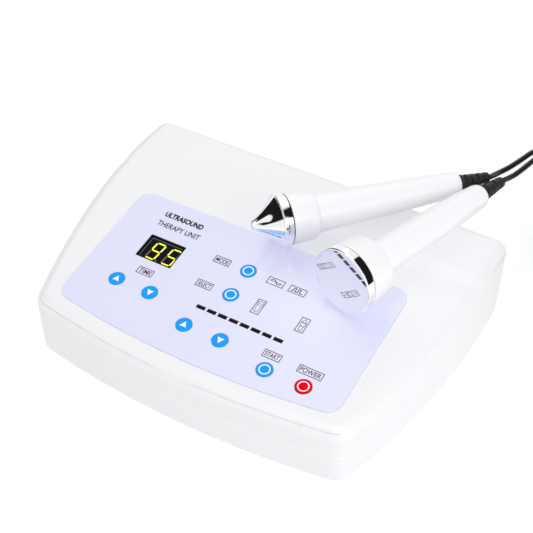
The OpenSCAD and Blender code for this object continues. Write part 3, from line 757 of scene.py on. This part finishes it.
# ---- panel frame
PANEL = Matrix.Translation((0, 0, PLANE_Z)) @ turned(PANEL_TILT, "X")
PANEL_W = 190
PANEL_TOP = 9.7
PANEL_MARGIN = 12.3
PANEL_CORNER_R = 9
SHEET_TOP = 0.4
PANEL_BOTTOM_R = FRONT_R - PANEL_MARGIN
PANEL_BOTTOM_Y = (FRONT_Y + PANEL_MARGIN) / math.cos(math.radians(PANEL_TILT))
PANEL_BOTTOM_C = Vector((0, PANEL_BOTTOM_Y + PANEL_BOTTOM_R))


def on_panel(node):
    """A CAD node's middle in the panel's own frame."""
    local = PANEL.inverted() @ centre(node)
    return local.x, local.y


def panel_outline():
    """Outline of the glossy sheet: bowed bottom edge, straight sides and top."""
    r = PANEL_CORNER_R
    x = PANEL_W / 2 - r
    low = Vector((x, PANEL_BOTTOM_C.y - math.sqrt((PANEL_BOTTOM_R - r) ** 2 - x * x)))
    turn = angle_to(PANEL_BOTTOM_C, low)
    right = arc(*PANEL_BOTTOM_C, PANEL_BOTTOM_R, -90, turn, 20)[1:]
    right += arc(*low, r, turn, 0, 12)[1:]
    right += arc(x, PANEL_TOP - r, r, 0, 90, 12)
    return [(0.0, PANEL_BOTTOM_C.y - PANEL_BOTTOM_R)] + right + [(-px, py) for px, py in reversed(right)]


BUTTON_NODES = ["time_up", "time_down", "output_up", "output_down", "mode", "select", "start", "power"]
BUTTON_AT = {name: on_panel(name + "_button") for name in BUTTON_NODES}
DISPLAY_AT = on_panel("display_window")
DISPLAY_SIZE = (25.6, 19.0)
BAR_AT = on_panel("level_bar")
BAR_PITCH = 7.5
BAR_X = [BAR_AT[0] + (i - 3.5) * BAR_PITCH for i in range(8)]
BAR_SIZE = (5.2, 1.8)
CAP_R = 5.0
SLOT_GAP = 0.2


def rounded_rect(cx, cy, w, h, r, steps=4):
    out = []
    for sx, sy, a0 in ((1, -1, -90), (1, 1, 0), (-1, 1, 90), (-1, -1, 180)):
        out += arc(cx + sx * (w / 2 - r), cy + sy * (h / 2 - r), r, a0, a0 + 90, steps)
    return out


def make_sheet():
    """The glossy sheet, with holes for the caps, the display and the dashes."""
    sheet = prism("panel_sheet", panel_outline(), -0.4, SHEET_TOP, PANEL, 0.22)
    outlines = [arc(x, y, CAP_R + 0.25, 0, 360 - 5, 71) for x, y in BUTTON_AT.values()]
    outlines.append(rounded_rect(*DISPLAY_AT, *[size + SLOT_GAP for size in DISPLAY_SIZE], 0.5))
    outlines += [rounded_rect(x, BAR_AT[1], *[size + SLOT_GAP for size in BAR_SIZE], 0.3) for x in BAR_X]
    cut(sheet, join("holes", [prism("hole", outline, -1, 2, PANEL) for outline in outlines]))
    finish_piece(sheet, SHEET, ("panel_overlay",), 40)


make_sheet()

# ---- printing on the sheet
PRINT_LOW = SHEET_TOP - 0.01
PRINT_HIGH = SHEET_TOP + 0.03


def stroke(points, width, closed=False, low=PRINT_LOW, high=PRINT_HIGH):
    """A printed line of even width through points in the panel's frame."""
    pts = [Vector(p) for p in points]
    count = len(pts)
    verts = []
    for i, q in enumerate(pts):
        p = pts[i - 1] if (closed or i) else q
        s = pts[(i + 1) % count] if (closed or i < count - 1) else q
        a = (q - p).normalized() if (q - p).length else (s - q).normalized()
        b = (s - q).normalized() if (s - q).length else a
        mid = (a + b).normalized()
        normal = Vector((-mid.y, mid.x))
        reach = width / 2 / max(0.4, normal.dot(Vector((-a.y, a.x))))
        for side in (-1, 1):
            at = q + normal * reach * side
            verts += [(at.x, at.y, low), (at.x, at.y, high)]
    faces = []
    pairs = [(i, (i + 1) % count) for i in range(count if closed else count - 1)]
    for i, j in pairs:
        a, b = 4 * i, 4 * j
        faces += [(a + 1, b + 1, b + 3, a + 3), (a, a + 2, b + 2, b), (a, b, b + 1, a + 1),
                  (a + 2, a + 3, b + 3, b + 2)]
    if not closed:
        e = 4 * (count - 1)
        faces += [(0, 1, 3, 2), (e, e + 2, e + 3, e + 1)]
    return add_object("stroke", verts, faces, PANEL)


def lettering(text, cx, cy, w, h, bold):
    """Words in the built-in font, fitted to a box in the panel's frame."""
    curve = bpy.data.curves.new("words", "FONT")
    curve.body = text
    curve.resolution_u = 4
    curve.offset = bold
    obj = put("words", curve)
    mesh = evaluated_mesh(obj)
    bpy.data.objects.remove(obj)
    work = bmesh.new()
    work.from_mesh(mesh)
    bmesh.ops.remove_doubles(work, verts=work.verts, dist=1e-5)
    xs = [v.co.x for v in work.verts]
    ys = [v.co.y for v in work.verts]
    x0, x1, y0, y1 = min(xs), max(xs), min(ys), max(ys)
    for v in work.verts:
        x = (v.co.x - x0) / (x1 - x0) * w - w / 2
        y = (v.co.y - y0) / (y1 - y0) * h - h / 2
        v.co = Vector((cx + x, cy + y, PRINT_LOW))
    made = bmesh.ops.extrude_face_region(work, geom=work.faces[:])
    for v in made["geom"]:
        if isinstance(v, bmesh.types.BMVert):
            v.co.z = PRINT_HIGH
    for v in work.verts:
        v.co = (PANEL @ v.co) * MM
    bmesh.ops.recalc_face_normals(work, faces=work.faces)
    mesh = bpy.data.meshes.new("words")
    work.to_mesh(mesh)
    work.free()
    return put("words", mesh)


def frame_box(cx, cy, w, h, width=0.46):
    return stroke([(cx - w / 2, cy - h / 2), (cx + w / 2, cy - h / 2), (cx + w / 2, cy + h / 2),
                   (cx - w / 2, cy + h / 2)], width, closed=True)


def make_printing():
    labels = [("TIME", -55.8, -48.7, 10.5), ("MODE", -18.1, -19.8, 10.6), ("SELECT", -18, -40.9, 10.6),
              ("START", 44.5, -67.9, 11), ("POWER", 69.4, -68.2, 15.2)]
    boxes = []
    words = []
    for text, x, y, w in labels:
        boxes.append(frame_box(x, y, w, 5))
        words.append(lettering(text, x, y, w - 1.9, 3.3, 0.012))
    # wave icons
    for x in (19.6, 34.4):
        boxes.append(frame_box(x, -19.7, 10.7, 5.1))
    x, y = 19.6, -19.6
    wave = [(x - 3.6 + 7.2 * i / 28, y + 1.35 * math.sin(2 * math.pi * i / 28)) for i in range(29)]
    words.append(stroke(wave, 0.55))
    words.append(stroke([(x - 4, y), (x + 4, y)], 0.3))
    low, high = -21, -18.3
    pulse = [(30.4, low), (31.8, low), (31.8, high), (33.2, high), (33.2, low), (34.8, low), (34.8, high),
             (36.2, high), (36.2, low), (38.4, low)]
    words.append(stroke(pulse, 0.55))
    # treatment head icons, one flat and one pointed, heads up
    x, y = 19.7, -40.7
    boxes.append(frame_box(x, y, 5.2, 10.8))
    head = [(x - 1.8, y + 4), (x + 1.8, y + 4), (x + 1.8, y + 1.2), (x - 1.8, y + 1.2)]
    words.append(stroke(head, 0.3, closed=True))
    words.append(stroke([(x - 1.8, y + 2.5), (x + 1.8, y + 2.5)], 0.22))
    grip = [(x - 1.5, y + 1.2), (x - 1.0, y - 4), (x + 1.0, y - 4), (x + 1.5, y + 1.2)]
    words.append(stroke(grip, 0.3))
    x, y = 49.3, -40.8
    boxes.append(frame_box(x, y, 5.2, 10.8))
    words.append(stroke([(x, y + 4.6), (x - 1.5, y + 1.8), (x + 1.5, y + 1.8)], 0.3, closed=True))
    head = [(x - 1.7, y + 1.6), (x + 1.7, y + 1.6), (x + 1.5, y - 0.8), (x - 1.5, y - 0.8)]
    words.append(stroke(head, 0.3, closed=True))
    grip = [(x - 1.1, y - 0.8), (x - 0.8, y - 4.4), (x + 0.8, y - 4.4), (x + 1.1, y - 0.8)]
    words.append(stroke(grip, 0.3))
    title = [lettering("ULTRASOUND", -57.3, -1.9, 28, 4.4, 0.045),
             lettering("THERAPY UNIT", -56.4, -10.3, 31, 4.2, 0.014)]
    # a printed border round each dash of the level row
    title += [frame_box(x, BAR_AT[1], BAR_SIZE[0] + 0.5, BAR_SIZE[1] + 0.5, 0.34) for x in BAR_X]
    for name, group, mat in (("boxes", boxes, LINE), ("words", words, MAROON), ("title", title, INK)):
        finish_piece(join("panel_" + name, group), mat)


make_printing()


# ---- display
def make_display():
    """A window with a raised black frame, two seven-segment digits on a face set below it, and a painted
    highlight: a grey line along the face's left and top edges.
    """
    w, h = DISPLAY_SIZE
    rim_top = 0.2
    face = -0.75
    rings = [(0, -2.2), (0, rim_top - 0.15), (0.15, rim_top), (0.75, rim_top), (1.25, face + 0.1),
             (1.4, face)]
    verts = []
    for inset, z in rings:
        r = max(0.15, 0.5 - inset * 0.3)
        verts += [(x, y, z) for x, y in rounded_rect(*DISPLAY_AT, w - 2 * inset, h - 2 * inset, r, 3)]
    faces = ring_faces(len(verts) // len(rings), len(rings))
    body = add_object("display_frame", verts, faces, PANEL)
    finish_piece(body, WINDOW, ("display_window",), 30)

    digit_w, digit_h, bar, gap, slant = 6.2, 13.0, 1.0, 0.3, 0.1
    mid_x, mid_y = DISPLAY_AT[0], DISPLAY_AT[1] - 0.9
    segment_at = {
        "a": (0, digit_h / 2, True), "g": (0, 0, True), "d": (0, -digit_h / 2, True),
        "f": (-digit_w / 2, digit_h / 4, False), "b": (digit_w / 2, digit_h / 4, False),
        "e": (-digit_w / 2, -digit_h / 4, False), "c": (digit_w / 2, -digit_h / 4, False)}
    # each digit's place along the window, and its lit segments
    shown = {-3.4: "abcdfg", 8.3: "acdfg"}
    lit = []
    unlit = []
    for cx, on in shown.items():
        for key, (sx, sy, flat) in segment_at.items():
            long = (digit_w if flat else digit_h / 2) / 2 - gap
            half = bar / 2
            hexagon = [(long, 0), (long - half, half), (half - long, half), (-long, 0), (half - long, -half),
                       (long - half, -half)]
            if not flat:
                hexagon = [(-y, x) for x, y in hexagon]
            pts = []
            for px, py in hexagon:
                y = sy + py
                pts.append((mid_x + cx + sx + px + slant * y, mid_y + y))
            (lit if key in on else unlit).append(prism("segment", pts, face - 0.02, face + 0.05, PANEL))
        point = arc(mid_x + cx + 4.3, mid_y - digit_h / 2, 0.6, 0, 330, 11)
        unlit.append(prism("point", point, face - 0.02, face + 0.05, PANEL))
    # A painted highlight: a grey line along the face's left and top edges only, for light on the frame's
    # bevel.
    inner = [(DISPLAY_AT[0] + sx * (w / 2 - 1.75), DISPLAY_AT[1] + sy * (h / 2 - 1.75))
             for sx, sy in ((-1, -1), (-1, 1), (1, 1))]
    line = stroke(inner, 0.3, low=face - 0.02, high=face + 0.04)
    finish_piece(line, RIM_HIGHLIGHT_PAINT)
    for name, group, mat in (("lit_segments", lit, LIT), ("unlit_segments", unlit, UNLIT)):
        finish_piece(join(name, group), mat)


make_display()


def make_level_lenses():
    """Eight dashes in the sheet's slots, and two small lenses in each."""
    dashes = []
    lenses = []
    for x in BAR_X:
        dash = rounded_rect(x, BAR_AT[1], *BAR_SIZE, 0.3)
        dashes.append(prism("dash", dash, SHEET_TOP - 0.5, SHEET_TOP + 0.08, PANEL, 0.12, 2))
        for side in (-1, 1):
            lens = rounded_rect(x + side * 1.15, BAR_AT[1], 1.9, 1.05, 0.2, 2)
            lenses.append(prism("lens", lens, SHEET_TOP, SHEET_TOP + 0.16, PANEL, 0.08, 2))
    finish_piece(join("level_dashes", dashes), INK)
    finish_piece(join("level_lenses", lenses), WINDOW)


make_level_lenses()


# ---- buttons
def make_buttons():
    """Caps on their stems, each with a printed arrow or ring."""
    r = CAP_R
    top = 0.7
    for name, (x, y) in BUTTON_AT.items():
        body = name + "_button"
        place = PANEL @ Matrix.Translation((x, y, 0))
        colour, slot = (RED, "red_cap") if name == "power" else (BLUE, "blue_cap")
        profile = [(0, -0.7), (r - 0.1, -0.7), (r, -0.6), (r, top - 0.35), (r - 0.06, top - 0.2),
                   (r - 0.2, top - 0.08), (r - 0.45, top - 0.02), (r - 1.2, top), (0, top)]
        cap = lathe("cap", profile, place, 72)
        profile = [(0, -6), (1.9, -6), (2, -5.9), (2, -3.4), (3.2, -3.4), (3.2, -2.6), (2, -2.6), (2, -0.69),
                   (0, -0.69)]
        stem = lathe("stem", profile, place, 32)
        finish_piece(join(body + "_cap", [cap, stem]), colour, (body,), 40, body)
        if name.endswith("up") or name.endswith("down"):
            way = 1 if name.endswith("up") else -1
            corners = [(0, 2.5 * way), (-2.2 * way, -1.7 * way), (0, -1.35 * way), (2.2 * way, -1.7 * way)]
            mark = prism(body + "_arrow", corners, top - 0.01, top + 0.035, place)
        else:
            ring = [(2.8, top - 0.01), (3.5, top - 0.03), (3.5, top + 0.03), (2.8, top + 0.035)]
            mark = lathe(body + "_ring", ring, place, 72)
        finish_piece(mark, PALE, body=body)


make_buttons()


# ---- handsets
def collar_profile(front_r, back_r, start, end, shoulder, rim):
    """Tapered collar that ends in a rounded shoulder at the handle."""
    out = [(front_r - 2.6, start), (front_r - 0.25, start), (front_r - 0.07, start + 0.07),
           (front_r, start + 0.25)]
    body_end = end - shoulder
    for i in range(1, 13):
        t = i / 12
        out.append((front_r + (back_r - front_r) * (0.9 * t * t + 0.1 * t),
                    start + 1 + (body_end - start - 1) * t))
    for i in range(1, 15):
        a = math.pi / 2 * i / 14
        out.append((rim + (back_r - rim) * math.cos(a) ** 0.9, body_end + shoulder * math.sin(a)))
    out += [(11, end), (11, end - 9), (front_r - 2.6, end - 11.5)]
    return out


HANDLE_LINE = [(11.2, 34), (10.9, 45), (10.5, 60), (10, 80), (9.4, 100), (8.9, 110), (8.3, 118)]


def handle_profile(step, shoulder, more):
    """Outside and inside of a handle from its shoulder at the collar to its tail; more widens its front."""
    front = 11.3 + more
    line = [(front, shoulder + 0.35), (front - 0.02, shoulder + 2)]
    line += [(r + more * (1 - (z - 29) / 71) if z < 100 else r, z) for r, z in HANDLE_LINE]
    curve = [(p.x, p.y) for p in smooth_path([(r, z, 0) for r, z in line], 5)]
    tail = [(8.3 - 2.2 * (1 - math.cos(math.pi / 2 * i / 10)), 118 + 6.5 * math.sin(math.pi / 2 * i / 10))
            for i in range(1, 11)]
    end_face = [(5.9, HANDSET_LEN), (3.3, HANDSET_LEN)]
    inside = [(3.3, 120), (6, 116), (7.8, 98), (9.1, 60)]
    outline = [(9.1, shoulder - 7), (10.9, shoulder - 7), (10.9, shoulder + 0.05),
               (front - 0.1, shoulder + 0.1)]
    return [(r, z + step) for r, z in outline + curve + tail + end_face + inside]


def cone_head_profile():
    """A cone with hollow flanks and a flat tip, on its ring."""
    r = CONE_R
    end = CONE_RING
    tip_r = 3.15
    tip = -15.9
    out = [(0, tip), (2.0, tip), (2.5, tip + 0.06), (2.8, tip + 0.22), (3.05, tip + 0.5)]
    steps = 26
    for i in range(1, steps + 1):
        t = i / steps
        out.append((tip_r + (r - 1.0 - tip_r) * t ** 1.34, tip + 0.8 + (-0.25 - tip - 0.8) * t))
    return out + [(r - 0.55, -0.2), (r - 0.2, 0.0), (r - 0.03, 0.2), (r, 0.5), (r, end - 0.5),
                  (r - 0.08, end - 0.15), (r - 0.3, end), (13.4, end), (13.4, 10), (12.4, 10), (12.4, 3),
                  (0, 3)]


def flat_head_profile():
    r = DISC_R
    end = DISC_RING
    return [(0, 0), (r * 0.5, 0.0), (r - 1.2, 0.0), (r - 0.75, 0.05), (r - 0.35, 0.2), (r - 0.1, 0.5),
            (r, 0.9), (r, end - 0.5), (r - 0.08, end - 0.15), (r - 0.3, end), (17.6, end), (17.6, 10),
            (16.6, 10), (16.6, 2.2), (0, 2.2)]


def seal_profile(outer, inner, start):
    end = start + SEAL
    return [(inner, start), (outer, start), (outer + 0.05, start + SEAL / 2), (outer, end), (inner, end)]


def make_handset(kind, lay, head, seal, collar, handle):
    """The four turned pieces of a handset, from their profiles."""
    for part, form, profile, mat, slot, sharp in (
            ("_head", "_shell", head, CHROME, "chrome", 20),
            ("_seal", "_ring", seal, RUBBER, "black_rubber", 50),
            ("_collar", "_shell", collar, HANDLE, "white_plastic", 50),
            ("_handle", "_shell", handle, HANDLE, "white_plastic", 50)):
        piece = lathe(kind + part + form, profile, lay, 128)
        finish_piece(piece, mat, (kind + part,), sharp, kind + "_handset")


make_handset("cone", CONE_LAY, cone_head_profile(), seal_profile(CONE_R - 0.5, 13.5, CONE_RING),
             collar_profile(front_r=CONE_R - 0.2, back_r=15.6, start=CONE_RING + SEAL, end=CONE_COLLAR_END,
                            shoulder=3, rim=12.6),
             handle_profile(0, CONE_COLLAR_END, more=1.15))
make_handset("flat", FLAT_LAY, flat_head_profile(), seal_profile(DISC_R - 0.6, 17.7, DISC_RING),
             collar_profile(front_r=DISC_R - 0.4, back_r=19.3, start=DISC_RING + SEAL, end=FLAT_COLLAR_END,
                            shoulder=3.5, rim=11.5),
             handle_profile(HEAD_STEP, FLAT_COLLAR_END - HEAD_STEP, more=0))


# ---- back of the console
def back_matrix(node):
    """The frame of a node on the back wall: height runs out, along +Y, and the first axis along +X."""
    middle = centre(node)
    return Matrix.Translation((middle.x, BACK_Y, middle.z)) @ turned(-90, "X")


def make_socket(kind):
    """A threaded barrel with three pins."""
    place = back_matrix(kind + "_socket")
    thread = []
    for i in range(14):
        base = 1.9 + 0.58 * i
        thread += [(6.0, base), (5.62, base + 0.24), (5.62, base + 0.32), (6.0, base + 0.5)]
    profile = [(4.7, -11.95), (5.9, -12), (6, -11.9), (6, 0), (7.3, 0), (7.5, 0.2), (7.5, 1.3), (7.2, 1.6),
               (6, 1.6), *thread, (5.7, 10), (4.9, 10), (4.7, 9.8), (4.7, -1), (0.001, -1), (0.001, -11.95)]
    body = lathe(kind + "_socket_barrel", profile, place, 72)
    pins = []
    for angle in (45, 165, 285):
        a = math.radians(angle)
        at = place @ Matrix.Translation((2.6 * math.cos(a), 2.6 * math.sin(a), 0))
        pins.append(lathe("pin", [(0, -1.05), (0.5, -1.05), (0.5, 3.6), (0.35, 3.9), (0, 4)], at, 20))
    finish_piece(body, NICKEL, (kind + "_socket",), 30)
    finish_piece(join(kind + "_socket_pins", pins), BRASS)


def make_inlet():
    """A flanged mains inlet, whose opening has two cut corners."""
    place = back_matrix("mains_inlet")
    flange = prism("mains_inlet_shell", rounded_rect(0, 0, 31, 23, 2.4, 6), 0, 2.5, place, 0.6)
    box = prism("box", rounded_rect(0, 0, 27, 19.6, 1.0), -18, 0.5, place)
    cut(flange, box, "UNION")
    w, h, c, e = 12, 7.8, 4.0, 0.8
    mouth = [(e - w, h), (-w, h - e), (-w, c - h), (c - w, -h), (w - c, -h), (w, c - h), (w, h - e),
             (w - e, h)]
    cut(flange, prism("mouth", mouth[::-1], -14.5, 5, place))
    finish_piece(flange, BLACK, ("mains_inlet",), 30)


def make_fuse_holder():
    """A knurled cap with a screwdriver slot."""
    place = back_matrix("fuse_holder")
    profile = [(0, -24), (5.8, -24), (6, -23.8), (6, 0), (7.2, 0), (7.5, 0.3), (7.5, 1.6)]
    profile += [(7.2, 1.7 + 0.52 * i) for i in range(9)] + [(7.0, 6.2), (6.7, 6.7), (6.2, 7), (0, 7)]
    cap = lathe("fuse_holder_cap", profile, place, 96, knurl(24, 0.4, 1.75, 6.0))
    cut(cap, prism("slot", rounded_rect(0, 0, 9, 1.4, 0.3), 5.5, 9, place))
    finish_piece(cap, BLACK, ("fuse_holder",), 35)


def make_feet():
    """Four turned feet, whose stems sit in the bottom shell."""
    top = mm_box("rubber_feet")[1].z
    profile = [(0, 0.5), (3.6, 0.5), (4.0, 0.1), (4.3, 0), (5.9, 0), (6.3, 0.12), (6.6, 0.4),
               (7, FOOT_H - 0.1), (6.9, FOOT_H), (2.5, FOOT_H), (2.5, top - 0.2), (2.3, top), (0, top)]
    parts = []
    for x, y in ((100, 64), (-100, 64), (76, -86), (-76, -86)):
        parts.append(lathe("foot", profile, Matrix.Translation((x, y, 0)), 48))
    finish_piece(join("feet", parts), RUBBER, ("rubber_feet",), 35)


make_socket("cone")
make_socket("flat")
make_inlet()
make_fuse_holder()
make_feet()

for look, names in NODE_LOOKS:
    for node in names.split():
        nodes[node].data.materials.clear()
        nodes[node].data.materials.append(look)


# ---- floor, lights and backdrop
def make_floor():
    half = 2500
    floor = add_object("floor", [(-half, -half, 0), (half, -half, 0), (half, half, 0), (-half, half, 0)],
                       [(0, 1, 2, 3)])
    mat = new_material("floor_paper", (0.99, 0.99, 0.99), 0.85, tint=0.004, grain=200, bump=0.02, patch=2,
                       specular=0.1)
    floor.data.materials.append(mat)


def area_light(name, at, target, size, power):
    """A square lamp that faces its target."""
    data = bpy.data.lights.new(name, "AREA")
    data.size = size
    data.energy = power
    lamp = put(name, data)
    lamp.location = at
    lamp.rotation_euler = (Vector(target) - Vector(at)).to_track_quat("-Z", "Y").to_euler()


def sun_light(name, source, strength):
    """An even light without shadows, which lifts what the other lights leave dark."""
    data = bpy.data.lights.new(name, "SUN")
    data.energy = strength
    data.angle = math.radians(20)
    data.use_shadow = False
    lamp = put(name, data)
    lamp.rotation_euler = Vector(source).to_track_quat("Z", "Y").to_euler()


def make_world():
    """A white studio. What shines also mirrors a dark wall on the left, with a lit panel, and one behind."""
    world = bpy.data.worlds.new("studio")
    world.use_nodes = True
    scene.world = world
    tree = world.node_tree
    tree.nodes.clear()
    direction = add_node(tree, "TexCoord", {}).outputs["Generated"]
    ray = add_node(tree, "LightPath", {}).outputs

    def side(normal, start, end):
        """1 where a direction's part along the normal is past end, 0 before start."""
        aim = tree.nodes.new("ShaderNodeVectorMath")
        aim.operation = "DOT_PRODUCT"
        aim.inputs[1].default_value = Vector(normal).normalized()
        tree.links.new(direction, aim.inputs[0])
        edge = {"From Min": start, "From Max": end, "Value": aim.outputs["Value"]}
        return add_node(tree, "MapRange", edge).outputs["Result"]

    def combine(how, a, b):
        node = tree.nodes.new("ShaderNodeMath")
        node.operation = how
        return fill(tree, node, {0: a, 1: b}).outputs["Value"]

    def every(first, *others):
        """Where all of them hold."""
        for other in others:
            first = combine("MULTIPLY", first, other)
        return first

    def outside(part):
        return combine("SUBTRACT", 1.0, part)

    lit_panel = every(side((0.562, 0.12, 0.819), -0.06, -0.03), side((0.469, -0.883, 0), -0.04, 0),
                      side((-0.469, 0.883, 0), -0.6, -0.54))
    low_front = every(side((0, -1, 0), 0.3, 0.36), side((0, 0, -1), -0.22, -0.16))
    wall = every(side((-0.766, -0.643, 0), -0.03, 0.03), side((-0.996, 0.087, 0), -0.03, 0.03),
                 side((0, 0, -1), -0.88, -0.84), outside(low_front), outside(lit_panel))
    back = side((0.709, 0.497, 0.5), 0.766, 0.80)
    dark = every(combine("MAXIMUM", wall, back), ray["Is Glossy Ray"])
    strength = add_node(tree, "MapRange", {"To Min": 0.535, "To Max": 0.95, "Value": ray["Is Glossy Ray"]})
    mirrored = add_node(tree, "Background", {
        "Color": mix_colours(tree, (1, 1, 1, 1), (0.012, 0.012, 0.014, 1), dark),
        "Strength": strength.outputs["Result"]})
    seen = add_node(tree, "Background", {"Color": (1, 1, 1, 1), "Strength": 1.0})
    mix = add_node(tree, "MixShader", {
        "Fac": ray["Is Camera Ray"], 1: mirrored.outputs["Background"], 2: seen.outputs["Background"]})
    add_node(tree, "OutputWorld", {"Surface": mix.outputs["Shader"]})


make_floor()
make_world()
area_light("key", (-0.55, 0.45, 1.1), (0, 0, 0.03), 1.2, 2.7)
area_light("fill", (1.1, -0.35, 0.45), (0, 0, 0.05), 0.9, 3.2)
sun_light("lift", (0.2, -0.36, 0.91), 1.28)
scene.view_settings.view_transform = "Standard"
